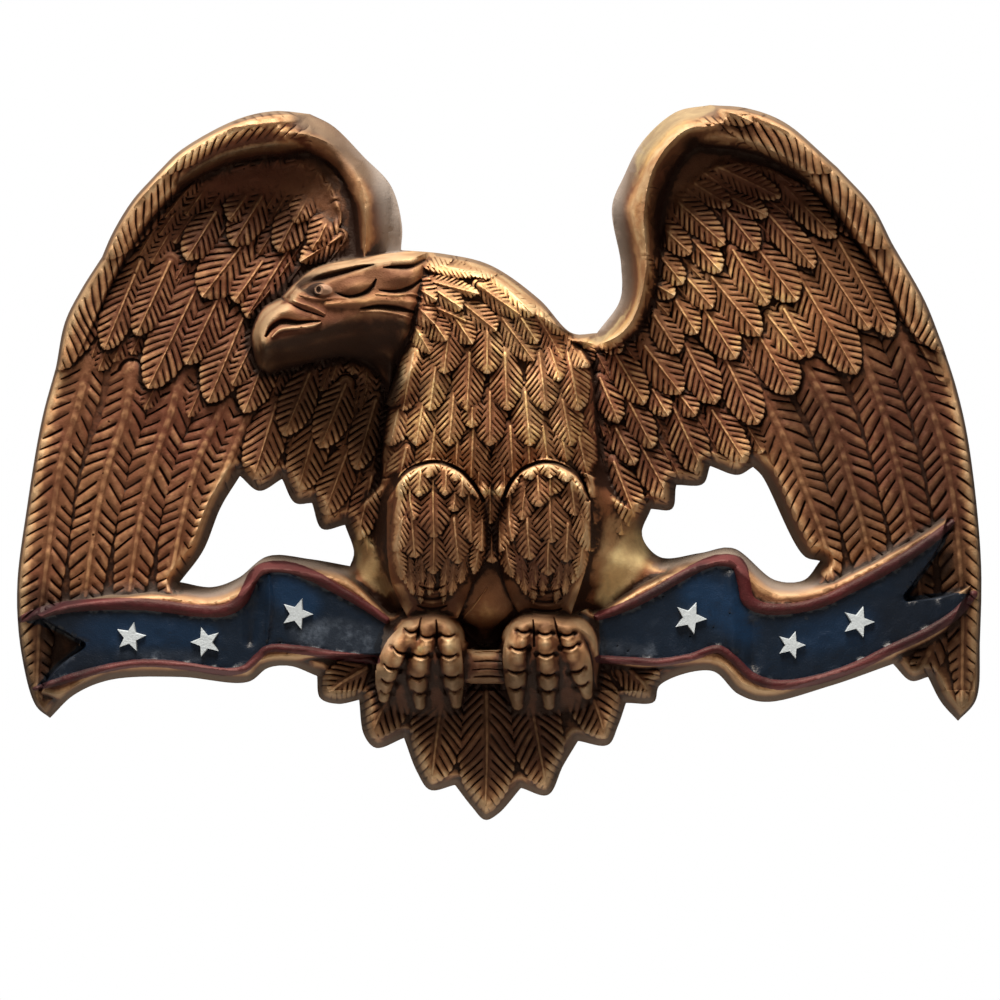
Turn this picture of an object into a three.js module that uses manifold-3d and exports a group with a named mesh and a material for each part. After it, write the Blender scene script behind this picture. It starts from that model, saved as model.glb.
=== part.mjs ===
// Eagle wall plaque: one painted casting with raised wings, a starred ribbon and a fan tail.
// Millimetres, +Z up. The flat back lies on the plane Y = 0 and the relief stands out towards -Y.
// The origin is on the back, behind the breast, where the plaque lies against the wall.

import * as THREE from 'three';
import { mergeVertices } from 'three/addons/utils/BufferGeometryUtils.js';
import Module from 'manifold-3d';

// Driving dimensions
const PLAQUE_WIDTH = 460;
const EYE_DISTANCE = 1050;
const SHEET_SPAN = 965;
const UNIT = PLAQUE_WIDTH / SHEET_SPAN;
const SHEET_AXIS = [500, 500];
const ORIGIN_ON_SHEET = [500, 463];

// Heights over the back, in millimetres
const WING_LEVEL = 25;
const DISH_LEVEL = 19;
const WEB_LEVEL = 50;
const TAIL_LEVEL = 26;
const RIBBON_LEVEL = 36;
const RIBBON_EDGE_RISE = 2.2;
const STAR_RISE = 2;
const BREAST_HEIGHT = 71;
const CROTCH_HEIGHT = 42;
const HEAD_HEIGHT = 76;
const THIGH_HEIGHT = 79;
const TOE_HEIGHT = 66;
const LIP = 2;

// Spacing of the corners of the surface, in sheet units
const EDGE_STEP = 16;
const FORM_STEP = 15;
const FINE_STEP = 12;
const FEATHER_STEP = 13.5;
const FILL_STEP = 22;
const FORM_APART = 5.5;
const FINE_APART = 2.8;
const STAR_APART = 1.2;
const FEATHER_APART = 3.2;

// Hanging pocket in the back
const POCKET_AT = [500, 330];
const POCKET_WIDTH = 30;
const POCKET_HEIGHT = 16;
const POCKET_DEPTH = 14;

// Plan positions are given on a sheet 1000 units square, drawn as the plaque looks from
// EYE_DISTANCE in front: a point that stands proud of the back lies nearer the axis in the object.
const place = (u, v, h) => {
  const scale = UNIT * (1 - h / EYE_DISTANCE);
  const lift = (SHEET_AXIS[1] - ORIGIN_ON_SHEET[1]) * UNIT;
  return [(u - SHEET_AXIS[0]) * scale, -h, (SHEET_AXIS[1] - v) * scale - lift];
};

// Outlines: each run is a smooth curve, and a corner lies where two runs meet. A run's band is
// the width, in sheet units, over which the surface climbs from its foot to its full height.
const run = (band, ...points) => ({ band, points });

const PLATE_EDGE = [
  run(28, [401, 250], [402, 226], [391, 186], [364, 157], [333, 126], [310, 114]),
  run(9, [310, 114], [275, 111], [238, 119], [181, 150], [157, 173]),
  run(5, [157, 173], [132, 201], [112, 234], [102, 257]),
  run(5, [102, 257], [81, 290], [65, 322], [56, 367]),
  run(4, [56, 367], [42, 419], [27, 507], [17, 590], [22, 657], [36, 706], [50, 718]),
  run(12, [50, 718], [74, 695], [110, 680], [180, 677], [248, 682], [268, 668], [290, 666], [317, 676]),
  run(10, [317, 676], [320, 698], [338, 704], [359, 700]),
  run(11, [359, 700], [364, 735], [376, 748], [404, 738]),
  run(11, [404, 738], [417, 772], [430, 790], [455, 785]),
  run(11, [455, 785], [472, 807], [485, 820], [498, 814], [521, 788]),
  run(11, [521, 788], [548, 795], [563, 766], [578, 741]),
  run(11, [578, 741], [608, 745], [618, 726], [626, 703]),
  run(12, [626, 703], [654, 702], [660, 685], [712, 671], [738, 694], [766, 702], [830, 686], [893, 664]),
  run(10, [893, 664], [911, 681], [928, 677]),
  run(11, [928, 677], [941, 702], [958, 721]),
  run(4, [958, 721], [976, 700], [980, 640], [981, 560], [969, 445], [957, 390], [943, 346]),
  run(5, [943, 346], [925, 301], [892, 243]),
  run(5, [892, 243], [873, 207], [837, 167]),
  run(9, [837, 167], [784, 122], [746, 108], [710, 105]),
  run(28, [710, 105], [676, 112], [642, 142], [624, 176], [612, 207], [621, 265], [620, 300], [597, 333]),
  run(10, [597, 333], [572, 333], [539, 299], [490, 265], [445, 254], [401, 250]),
];
const LEFT_HOLE = [
  run(13, [180, 582], [212, 587], [238, 578], [268, 556], [310, 559], [350, 566]),
  run(14, [350, 566], [354, 553], [345, 525]),
  run(12, [345, 525], [322, 529], [312, 503]),
  run(12, [312, 503], [295, 503], [282, 479]),
  run(12, [282, 479], [259, 491], [240, 476]),
  run(14, [240, 476], [221, 507], [203, 551], [180, 582]),
];
const RIGHT_HOLE = [
  run(14, [651, 509], [642, 535], [660, 557], [700, 553], [733, 548], [775, 580], [804, 580], [820, 561]),
  run(14, [820, 561], [804, 556], [762, 476], [753, 467]),
  run(12, [753, 467], [738, 475], [710, 466]),
  run(12, [710, 466], [703, 484], [676, 485]),
  run(12, [676, 485], [672, 509], [651, 509]),
];
const HEAD_EDGE = [
  run(9, [430, 251], [396, 252], [350, 259], [315, 268], [294, 283], [281, 297]),
  run(15, [281, 297], [262, 308], [251, 332], [254, 352], [262, 376]),
  run(44, [262, 376], [302, 366], [345, 357], [374, 366], [396, 394]),
  run(8, [396, 394], [420, 370], [445, 310], [430, 251]),
];
const BREAST_EDGE = [
  run(22, [385, 252], [445, 254], [490, 265], [539, 299], [574, 335]),
  run(72, [574, 335], [592, 362], [598, 416], [602, 480], [600, 560], [570, 615]),
  run(30, [570, 615], [486, 630], [402, 610]),
  run(44, [402, 610], [384, 540], [381, 450], [390, 398], [410, 346], [404, 300], [385, 252]),
];
const LEFT_THIGH_EDGE = [
  run(44, [404, 616], [384, 560], [388, 500], [433, 461], [480, 500], [477, 565], [458, 616]),
  run(6, [458, 616], [431, 618], [404, 616]),
];
const RIGHT_THIGH_EDGE = [
  run(44, [521, 616], [503, 560], [503, 500], [547, 460], [592, 500], [588, 565], [566, 616]),
  run(6, [566, 616], [543, 618], [521, 616]),
];
const LEFT_WEB_EDGE = [
  run(62, [346, 520], [352, 545], [350, 568], [380, 604]),
  run(3, [380, 604], [410, 620]),
  run(3, [410, 620], [420, 470], [375, 480]),
  run(14, [375, 480], [346, 520]),
];
const RIGHT_WEB_EDGE = [
  run(62, [646, 520], [643, 545], [662, 560], [640, 588], [610, 604]),
  run(3, [610, 604], [570, 620]),
  run(3, [570, 620], [575, 470], [606, 480]),
  run(14, [606, 480], [646, 520]),
];
const LEFT_RIBBON_EDGE = [
  run(12, [24, 611], [60, 596], [110, 588], [160, 585], [212, 590], [240, 578], [257, 559], [310, 561],
    [352, 572], [392, 606]),
  run(3, [392, 606], [400, 662]),
  run(10, [400, 662], [300, 666], [266, 669], [248, 680], [180, 676], [110, 679], [60, 704], [33, 699]),
  run(5, [33, 699], [57, 668], [84, 642]),
  run(5, [84, 642], [56, 628], [24, 611]),
];
const RIGHT_RIBBON_EDGE = [
  run(12, [596, 604], [650, 572], [705, 552], [734, 549], [775, 581], [815, 579], [870, 554], [952, 506]),
  run(5, [952, 506], [944, 545], [908, 597]),
  run(5, [908, 597], [945, 592], [982, 577]),
  run(10, [982, 577], [955, 632], [895, 664], [830, 686], [766, 701], [738, 692], [712, 670], [640, 676],
    [596, 668]),
  run(3, [596, 668], [590, 636], [596, 604]),
];
const LEFT_FOOT_EDGE = [
  run(9, [402, 645], [404, 618], [430, 612], [458, 618], [462, 645]),
  run(9, [462, 645], [430, 650], [402, 645]),
];
const RIGHT_FOOT_EDGE = [
  run(9, [505, 645], [512, 618], [543, 612], [578, 618], [586, 645]),
  run(9, [586, 645], [543, 650], [505, 645]),
];

// Rounded rims along the leading edges: [u, v, height, half width] along the crest
const RIMS = [
  [[404, 262, 40, 12], [371, 235, 50, 15], [364, 190, 55, 18], [345, 155, 56, 20], [312, 136, 54, 20],
    [275, 132, 50, 20], [220, 143, 46, 20], [175, 168, 42, 20], [132, 214, 36, 20], [104, 262, 32, 20],
    [76, 330, 28, 18], [60, 372, 26, 14]],
  [[572, 338, 42, 14], [600, 340, 46, 14], [626, 322, 50, 16], [642, 270, 53, 18], [640, 210, 55, 20],
    [652, 160, 56, 22], [684, 126, 55, 22], [730, 122, 51, 20], [790, 145, 46, 20], [838, 184, 42, 20],
    [886, 252, 36, 20], [926, 330, 30, 18], [944, 372, 27, 14]],
];
// Shallow dishes near the tops of the wings
const DISH_CENTRES = [[285, 175], [700, 165]];
const DISH_RADIUS = 120;

const STAR_RADIUS = 16.5;
const STAR_WAIST = 0.44;
const STAR_TURN = THREE.MathUtils.degToRad(10);
const STARS = [[132, 637], [206, 641], [297, 614], [690, 618], [791, 644], [857, 622]];

// Feathers: root, tip and width of each, laid so that a later row overlaps an earlier one
const RIGHT_PRIMARIES = [
  [[905, 330], [948, 452], [964, 704], 34],
  [[858, 345], [896, 455], [914, 548], 40],
  [[803, 362], [838, 445], [868, 566], 38],
  [[756, 386], [787, 440], [822, 544], 34],
];
const LEFT_PRIMARIES = [
  [[84, 372], [58, 470], [42, 612], 38],
  [[130, 378], [110, 470], [88, 600], 38],
  [[176, 372], [152, 468], [132, 592], 38],
  [[222, 396], [196, 470], [176, 566], 32],
];
const LEADING_FEATHERS = [
  [[700, 124], [772, 134], [838, 174], 34],
  [[812, 178], [862, 206], [892, 254], 40],
  [[866, 252], [912, 300], [942, 358], 40],
  [[290, 128], [220, 138], [157, 176], 30],
  [[180, 184], [134, 216], [103, 259], 34],
  [[132, 264], [90, 314], [59, 370], 38],
];
const RIGHT_COVERTS = [
  [[785, 186], [836, 238], 28], [[765, 210], [815, 268], 28], [[838, 240], [893, 337], 34],
  [[812, 244], [870, 330], 34], [[725, 208], [758, 250], 30], [[671, 195], [725, 245], 28],
  [[799, 276], [857, 374], 44], [[759, 250], [797, 301], 36], [[733, 250], [768, 305], 32],
  [[693, 240], [721, 272], 26], [[657, 222], [691, 254], 26], [[712, 277], [760, 336], 34],
  [[688, 279], [713, 308], 26], [[659, 254], [683, 284], 24], [[768, 315], [802, 359], 30],
  [[758, 334], [794, 394], 40], [[701, 304], [736, 359], 36], [[676, 301], [697, 334], 26],
  [[655, 316], [679, 353], 28], [[725, 358], [758, 425], 36], [[685, 344], [716, 404], 34],
  [[645, 346], [681, 394], 34], [[613, 350], [645, 405], 30], [[600, 378], [619, 423], 26],
  [[712, 410], [746, 463], 30], [[674, 408], [705, 476], 34], [[628, 400], [653, 448], 26],
  [[640, 444], [671, 501], 32], [[616, 428], [635, 465], 24], [[614, 462], [640, 530], 30],
];
const LEFT_COVERTS = [
  [[216, 212], [186, 260], 32], [[262, 196], [232, 246], 34], [[304, 200], [278, 252], 32],
  [[336, 206], [312, 250], 28], [[170, 262], [136, 336], 34], [[140, 262], [104, 350], 34],
  [[246, 240], [202, 297], 46], [[288, 250], [246, 318], 36], [[202, 276], [148, 389], 46],
  [[243, 318], [208, 403], 42], [[270, 345], [244, 413], 34], [[310, 372], [284, 436], 34],
  [[346, 384], [320, 448], 34], [[376, 400], [356, 470], 30], [[276, 404], [253, 480], 38],
  [[316, 424], [298, 492], 36], [[348, 450], [324, 515], 34], [[372, 476], [357, 541], 28],
];
const NECK_FEATHERS = [
  [[424, 262], [484, 274], 20], [[426, 280], [479, 294], 20], [[490, 274], [537, 303], 20],
  [[480, 286], [522, 316], 26], [[424, 302], [466, 321], 26], [[463, 303], [497, 331], 28],
  [[532, 306], [563, 359], 28], [[502, 318], [534, 361], 30], [[412, 322], [431, 354], 22],
];
const TAIL_TOP = 690;
const TAIL_FEATHERS = [
  [[350, 672], [334, 688], [325, 697], 36], [[646, 672], [650, 686], [651, 696], 36],
  [[392, 690], [382, 712], [372, 735], 40], [[592, 690], [600, 712], [604, 735], 40],
  [[446, 690], [437, 735], [431, 784], 50], [[526, 690], [537, 735], [547, 788], 50],
  [[486, 690], [487, 750], [485, 812], 56],
];
// Breast rows: sheet height of the tips, and the sideways place of each tip
const BREAST_ROWS = [
  { tip: 374, length: 50, width: 36, places: [444, 487] },
  { tip: 411, length: 58, width: 35, places: [403, 430, 467, 507, 546, 579] },
  { tip: 446, length: 54, width: 35, places: [390, 416, 449, 490, 530, 571] },
  { tip: 478, length: 52, width: 34, places: [428, 471, 513, 550, 588] },
];
const THIGH_ROWS = [
  { tip: 500, length: 30, width: 30, places: [0] },
  { tip: 518, length: 40, width: 26, places: [-22, 22] },
  { tip: 541, length: 42, width: 26, places: [0, -30, 30] },
  { tip: 562, length: 42, width: 24, places: [-20, 19] },
];
const THIGH_CENTRES = [433, 547];
const BREAST_AXIS = 490;
const FEATHER_LEAN = 0.12;

// Bars: [u, v, height, half width] along the crest of each toe, the perch, the brow and the beak
const TOES = [
  [[412, 630, 66, 11], [396, 648, 67, 12], [387, 674, 58, 12], [384, 699, 42, 8]],
  [[425, 630, 66, 11], [421, 648, 68, 12], [417, 676, 60, 12], [420, 708, 42, 8]],
  [[446, 630, 66, 11], [449, 648, 68, 12], [453, 676, 60, 12], [455, 706, 42, 8]],
  [[521, 630, 66, 11], [515, 650, 68, 12], [514, 676, 60, 12], [514, 706, 42, 8]],
  [[546, 630, 66, 11], [547, 648, 68, 12], [547, 676, 60, 12], [548, 706, 42, 8]],
  [[568, 630, 66, 11], [575, 648, 67, 12], [580, 672, 58, 12], [585, 696, 42, 8]],
];
const BARS = [
  [[466, 666, 50, 17], [486, 667, 50, 17], [508, 666, 50, 17]],
  [[292, 286, 71, 6], [318, 271, 77, 7], [360, 262, 79, 7], [412, 259, 79, 7]],
  [[334, 302, 74, 6], [362, 301, 78, 7], [416, 299, 79, 8]],
  [[268, 306, 68, 7], [290, 309, 73, 7], [320, 317, 76, 5]],
  [[274, 334, 67, 4], [294, 330, 70, 4], [320, 326, 73, 4]],
  [[314, 290, 76, 6], [330, 290, 77, 6]],
];
const BAR_DROP = 14;

// Plane geometry on the sheet
const gap = (a, b) => Math.hypot(a[0] - b[0], a[1] - b[1]);
const mix = (a, b, t) => a + (b - a) * t;

function curvePoints(points, step) {
  const line = new THREE.CatmullRomCurve3(
    points.map(([u, v]) => new THREE.Vector3(u, v, 0)), false, 'centripetal');
  const count = Math.max(1, Math.round(line.getLength() / step));
  return line.getSpacedPoints(count).map((p) => [p.x, p.y]);
}

// Where on a line a point is nearest: how far away, and how far along, in line segments
function nearest(point, line) {
  let best = { distance: Infinity, at: 0 };
  for (let i = 0; i + 1 < line.length; i += 1) {
    const [ax, ay] = line[i];
    const [bx, by] = line[i + 1];
    const length2 = (bx - ax) ** 2 + (by - ay) ** 2;
    const along = ((point[0] - ax) * (bx - ax) + (point[1] - ay) * (by - ay)) / length2;
    const t = THREE.MathUtils.clamp(along, 0, 1);
    const distance = Math.hypot(point[0] - mix(ax, bx, t), point[1] - mix(ay, by, t));
    if (distance < best.distance) best = { distance, at: i + t };
  }
  return best;
}

function inside(point, loop) {
  let odd = false;
  for (let i = 0, j = loop.length - 1; i < loop.length; j = i, i += 1) {
    const [ax, ay] = loop[i];
    const [bx, by] = loop[j];
    const crosses = (ay > point[1]) !== (by > point[1]);
    if (crosses && point[0] < ((bx - ax) * (point[1] - ay)) / (by - ay) + ax) odd = !odd;
  }
  return odd;
}

// The unit step to one side of a line at its point i
function sideways(line, i) {
  const [a, b] = [line[Math.max(i - 1, 0)], line[Math.min(i + 1, line.length - 1)]];
  return [(b[1] - a[1]) / gap(a, b), (a[0] - b[0]) / gap(a, b)];
}
const offset = (point, side, distance) => [0, 1].map((k) => point[k] + side[k] * distance);

// Forms: each answers how high it stands at a place, or 0 outside it, and names the places
// where its surface turns

// A mound rises from its foot to its crown over the bands of its outline, with a raised lip
// inside the top of its wall where one is asked for
function mound(edge, foot, crown, roundness, shares, { holes = [], lip = 0 } = {}) {
  const loops = [edge, ...holes];
  const fine = loops.map((runs) => runs.map(({ band, points }) => ({ band, line: curvePoints(points, 6) })));
  const rings = fine.map((runs) => runs.flatMap(({ line }) => line.slice(0, -1)));
  const contains = (p) => inside(p, rings[0]) && !rings.slice(1).some((ring) => inside(p, ring));
  const climb = (p) => Math.min(...fine.flat().map(({ band, line }) => nearest(p, line).distance / band));
  const height = (u, v) => {
    if (!contains([u, v])) return 0;
    const t = climb([u, v]);
    const top = typeof crown === 'function' ? crown(u, v) : crown;
    const edgeRise = t > 0.8 ? lip * Math.max(0, 1 - Math.abs(t - 1.15) / 0.55) : 0;
    return foot + (top - foot) * (1 - (1 - Math.min(1, t)) ** roundness) ** (1 / roundness) + edgeRise;
  };
  const features = (step) => loops.flat().flatMap(({ band, points }) => {
    const line = curvePoints(points, step);
    const places = line.flatMap((p, i) => shares.flatMap((share) => [-1, 1].map((sign) => {
      const spot = offset(p, sideways(line, i), sign * band * share);
      return contains(spot) && climb(spot) > share * 0.96 ? [spot] : [];
    }).flat()));
    return places;
  });
  return { contains, height, features };
}

// A bar follows its crest and falls away to both sides in a half round
function roundBar(stations, drop) {
  const height = (u, v) => {
    const { distance, at } = nearest([u, v], stations);
    const i = Math.min(Math.floor(at), stations.length - 2);
    const [level, halfWidth] = [2, 3].map((k) => mix(stations[i][k], stations[i + 1][k], at - i));
    const t = distance / halfWidth;
    return t < 1 ? level - drop * (1 - Math.sqrt(1 - t * t)) : 0;
  };
  const features = (step) => {
    const line = curvePoints(stations, step);
    const halfWidth = stations[0][3];
    return line.flatMap((p, i) => [0, -0.75, 0.75, -1.15, 1.15].map((out) =>
      offset(p, sideways(line, i), out * halfWidth)));
  };
  return { height, features };
}

// A rim is a broad bar whose flanks run down to the wing
function rimHeight(stations, u, v) {
  const { distance, at } = nearest([u, v], stations);
  const i = Math.min(Math.floor(at), stations.length - 2);
  const [level, halfWidth] = [2, 3].map((k) => mix(stations[i][k], stations[i + 1][k], at - i));
  const t = Math.min(1, distance / (halfWidth * 1.5));
  return level * Math.cos((t * Math.PI) / 2) ** 0.8;
}

// The crest of a rim and the lines where its flanks steepen and end
const rimPlaces = (stations) => {
  const line = curvePoints(stations, EDGE_STEP);
  const halfWidth = stations[2][3];
  return line.flatMap((p, i) => [0, -0.8, 0.8, -1.5, 1.5].map((out) =>
    offset(p, sideways(line, i), out * halfWidth)));
};

function star([u, v]) {
  const corner = (i, grow) => {
    const angle = (i * Math.PI) / 5 + STAR_TURN;
    const reach = STAR_RADIUS * (i % 2 === 0 ? 1 : STAR_WAIST) * grow;
    return [u + Math.sin(angle) * reach, v - Math.cos(angle) * reach];
  };
  const ring = (grow) => Array.from({ length: 10 }, (_, i) => corner(i, grow));
  const halved = (loop) => loop.flatMap((a, i) => {
    const b = loop[(i + 1) % loop.length];
    return [a, [0, 1].map((k) => mix(a[k], b[k], 0.5))];
  });
  const loop = ring(1);
  const height = (x, y) => (inside([x, y], loop) ? RIBBON_LEVEL + STAR_RISE : 0);
  return { height, features: () => [[u, v], ...halved(ring(0.94)), ...halved(ring(1.12))] };
}

// Feathers: each lies on the form below, rises towards its tip and is widest past its root
function feather(points, width, lift, crown) {
  const path = curvePoints(points, 6);
  const last = path.length - 1;
  const fullness = (s) => (s < 0.4 ? 0.6 + s : Math.sqrt(1 - ((s - 0.4) / 0.6) ** 2.8));
  const [us, vs] = [0, 1].map((k) => path.map((p) => p[k]));
  const [left, right] = [Math.min(...us) - width, Math.max(...us) + width];
  const [above, below] = [Math.min(...vs) - width, Math.max(...vs) + width];
  const rise = (u, v) => {
    if (u < left || u > right || v < above || v > below) return 0;
    const { distance, at } = nearest([u, v], path);
    const s = at / last;
    const t = distance / Math.max((width / 2) * fullness(s), 0.01);
    return t < 1 ? lift * (0.25 + 0.75 * s) + crown * (1 - t) : 0;
  };
  const features = () => {
    const count = Math.ceil((last * 6) / FEATHER_STEP);
    const shares = Array.from({ length: count }, (_, i) => 1 - (i + 0.3) / count);
    const places = shares.flatMap((s) => {
      const i = Math.round(s * last);
      const reach = (width / 2) * fullness(i / last);
      return [0, -0.88, 0.88, -1.16, 1.16].map((out) => offset(path[i], sideways(path, i), out * reach));
    });
    const [end, before] = [path[last], path[last - 1]];
    const beyond = [0, 1].map((k) => end[k] + ((end[k] - before[k]) / gap(end, before)) * 2.5);
    return [...places, beyond];
  };
  return { rise, features };
}

const lay = (rows, lift, crown) =>
  rows.map((row) => feather(row.slice(0, -1), row[row.length - 1], lift, crown));

function layRows(rows, lift, crown, centre) {
  return rows.flatMap(({ tip, length, width, places }) => places.map((across) => {
    const u = centre + across;
    const lean = (u - BREAST_AXIS) * FEATHER_LEAN;
    return feather([[u - lean, tip - length], [u, tip]], width, lift, crown);
  }));
}

// Levels of the crowns
function wingLevel(u, v) {
  const dish = Math.min(...DISH_CENTRES.map((p) => gap([u, v], p) / DISH_RADIUS));
  const field = mix(DISH_LEVEL, WING_LEVEL, Math.min(1, dish));
  const level = v > TAIL_TOP ? TAIL_LEVEL : field;
  return Math.max(level, ...RIMS.map((stations) => rimHeight(stations, u, v)));
}
const headLevel = (u) => HEAD_HEIGHT - 8 * Math.max(0, (330 - u) / 80);
const breastLevel = (u, v) => mix(BREAST_HEIGHT, CROTCH_HEIGHT, THREE.MathUtils.smoothstep(v, 430, 560));
const thighLevel = (u, v) => THIGH_HEIGHT - 20 * Math.max(0, (v - 520) / 96) ** 1.3;

const plate = mound(PLATE_EDGE, 0, wingLevel, 1.15, [1], { holes: [LEFT_HOLE, RIGHT_HOLE] });
const webs = [LEFT_WEB_EDGE, RIGHT_WEB_EDGE].map((edge) => mound(edge, 10, WEB_LEVEL, 1.1, [0.5]));
const breast = mound(BREAST_EDGE, 14, breastLevel, 2, [0.12, 0.5]);
const thighs = [LEFT_THIGH_EDGE, RIGHT_THIGH_EDGE].map((edge) => mound(edge, 30, thighLevel, 2, [0.15, 0.5]));
const ribbons = [LEFT_RIBBON_EDGE, RIGHT_RIBBON_EDGE].map((edge) =>
  mound(edge, 6, RIBBON_LEVEL, 1.1, [0.9, 1.7], { lip: RIBBON_EDGE_RISE }));
const head = mound(HEAD_EDGE, 16, headLevel, 2, [0.15, 0.5, 1]);
const feet = [LEFT_FOOT_EDGE, RIGHT_FOOT_EDGE].map((edge) => mound(edge, 30, TOE_HEIGHT, 2, [0.3, 1]));
const bars = [
  ...TOES.map((stations) => roundBar(stations, BAR_DROP)),
  ...BARS.map((stations) => roundBar(stations, BAR_DROP / 2)),
];
const stars = STARS.map(star);
const feathers = [
  ...lay([...RIGHT_PRIMARIES, ...LEFT_PRIMARIES, ...LEADING_FEATHERS], 2.5, 2),
  ...lay([...RIGHT_COVERTS, ...LEFT_COVERTS], 4.5, 1.2),
  ...lay(TAIL_FEATHERS, 4, 2),
  ...lay(NECK_FEATHERS, 3.4, 1.4),
  ...layRows(BREAST_ROWS, 3.6, 1.8, 0),
  ...THIGH_CENTRES.flatMap((centre) => layRows(THIGH_ROWS, 2.6, 1, centre)),
];

// Feathers grow on the wings, the breast and the thighs; the ribbon, head and feet stay bare
const highest = (group, [u, v]) => Math.max(...group.map((one) => one.height(u, v)));
const bareHeight = (p) => highest([...ribbons, head, ...feet, ...bars, ...stars], p);
function featheredHeight(p) {
  const base = highest([plate, ...webs, breast, ...thighs], p);
  const wall = Math.min(1, base / WING_LEVEL);
  return base + wall * Math.max(0, ...feathers.map((one) => one.rise(...p)));
}
const reliefHeight = (p) => Math.max(featheredHeight(p), bareHeight(p));

// Triangles over scattered points, each with no other point in its circle
function triangulate(points) {
  const far = 1e5;
  const all = [...points, [-far, -far], [far, -far], [0, far]];
  const n = points.length;
  const circle = (i, j, k) => {
    const [ax, ay] = all[i];
    const [bx, by] = [all[j][0] - ax, all[j][1] - ay];
    const [cx, cy] = [all[k][0] - ax, all[k][1] - ay];
    const d = 2 * (bx * cy - by * cx);
    const x = (cy * (bx * bx + by * by) - by * (cx * cx + cy * cy)) / d;
    const y = (bx * (cx * cx + cy * cy) - cx * (bx * bx + by * by)) / d;
    return { corners: [i, j, k], x: ax + x, y: ay + y, reach: x * x + y * y };
  };
  let triangles = [circle(n, n + 1, n + 2)];
  points.forEach(([px, py], index) => {
    const open = new Map();
    const kept = [];
    for (const triangle of triangles) {
      if ((px - triangle.x) ** 2 + (py - triangle.y) ** 2 >= triangle.reach) {
        kept.push(triangle);
        continue;
      }
      const [a, b, c] = triangle.corners;
      for (const [from, to] of [[a, b], [b, c], [c, a]]) {
        const key = from < to ? `${from},${to}` : `${to},${from}`;
        if (open.has(key)) open.delete(key);
        else open.set(key, [from, to]);
      }
    }
    for (const [from, to] of open.values()) kept.push(circle(from, to, index));
    triangles = kept;
  });
  return triangles.map(({ corners }) => corners).filter((corners) => corners.every((i) => i < n));
}

// The loops of edges that only one triangle uses, the outline first
function openLoops(triangles, points) {
  const edges = triangles.flatMap(([a, b, c]) => [[a, b], [b, c], [c, a]]);
  const used = new Set(edges.map(([a, b]) => `${a},${b}`));
  const next = new Map(edges.filter(([a, b]) => !used.has(`${b},${a}`)));
  const loops = [];
  while (next.size > 0) {
    const loop = [];
    let at = next.keys().next().value;
    while (next.has(at)) {
      loop.push(at);
      const following = next.get(at);
      next.delete(at);
      at = following;
    }
    loops.push(loop);
  }
  const width = (loop) => {
    const across = loop.map((i) => points[i][0]);
    return Math.max(...across) - Math.min(...across);
  };
  return loops.sort((one, other) => width(other) - width(one));
}

// The places where the surface gets a corner: the outline, what turns, then an even fill
function surfacePoints() {
  const loops = [PLATE_EDGE, LEFT_HOLE, RIGHT_HOLE];
  const edge = loops.flat().flatMap((one) => curvePoints(one.points, EDGE_STEP).slice(0, -1));
  const points = [...edge];
  const cells = new Map();
  const cell = (p, du = 0, dv = 0) => `${Math.floor(p[0] / 32) + du},${Math.floor(p[1] / 32) + dv}`;
  const file = (p) => cells.set(cell(p), [...(cells.get(cell(p)) ?? []), p]);
  points.forEach(file);
  const add = (p, apart) => {
    const around = [-1, 0, 1].flatMap((du) => [-1, 0, 1].flatMap((dv) => cells.get(cell(p, du, dv)) ?? []));
    if (!plate.contains(p) || around.some((q) => gap(p, q) < apart)) return;
    points.push(p);
    file(p);
  };
  const addAll = (group, step, apart) =>
    group.flatMap((one) => one.features(step)).forEach((p) => add(p, apart));
  addAll(stars, FINE_STEP, STAR_APART);
  addAll(bars, FINE_STEP, FINE_APART);
  addAll(ribbons, FORM_STEP, FORM_APART);
  addAll([plate], EDGE_STEP, FORM_APART);
  RIMS.flatMap(rimPlaces).forEach((p) => add(p, FORM_APART));
  const open = (p) => featheredHeight(p) > bareHeight(p);
  feathers.flatMap((one) => one.features()).filter(open).forEach((p) => add(p, FEATHER_APART));
  addAll([...webs, breast, head, ...thighs, ...feet], FORM_STEP, FORM_APART);
  let shift = 0;
  for (let v = 100; v < 830; v += FILL_STEP * 0.866) {
    for (let u = 10 + shift; u < 990; u += FILL_STEP) add([u, v], FILL_STEP * 0.6);
    shift = FILL_STEP / 2 - shift;
  }
  return { points, edgeCount: edge.length };
}

// Solids
const wasm = await Module();
wasm.setup();

function solidOf(geometry) {
  const bare = geometry.clone();
  bare.deleteAttribute('normal');
  bare.deleteAttribute('uv');
  const merged = mergeVertices(bare, 1e-4);
  return new wasm.Manifold(new wasm.Mesh({
    numProp: 3,
    vertProperties: Float32Array.from(merged.attributes.position.array),
    triVerts: Uint32Array.from(merged.index.array),
  }));
}

// A triangle's corners in the order that makes it turn the asked way on the sheet
function outward([a, b, c], points, way) {
  const [p, q, r] = [points[a], points[b], points[c]];
  const turn = (q[0] - p[0]) * (r[1] - p[1]) - (q[1] - p[1]) * (r[0] - p[0]);
  return turn * way > 0 ? [a, b, c] : [a, c, b];
}

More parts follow.
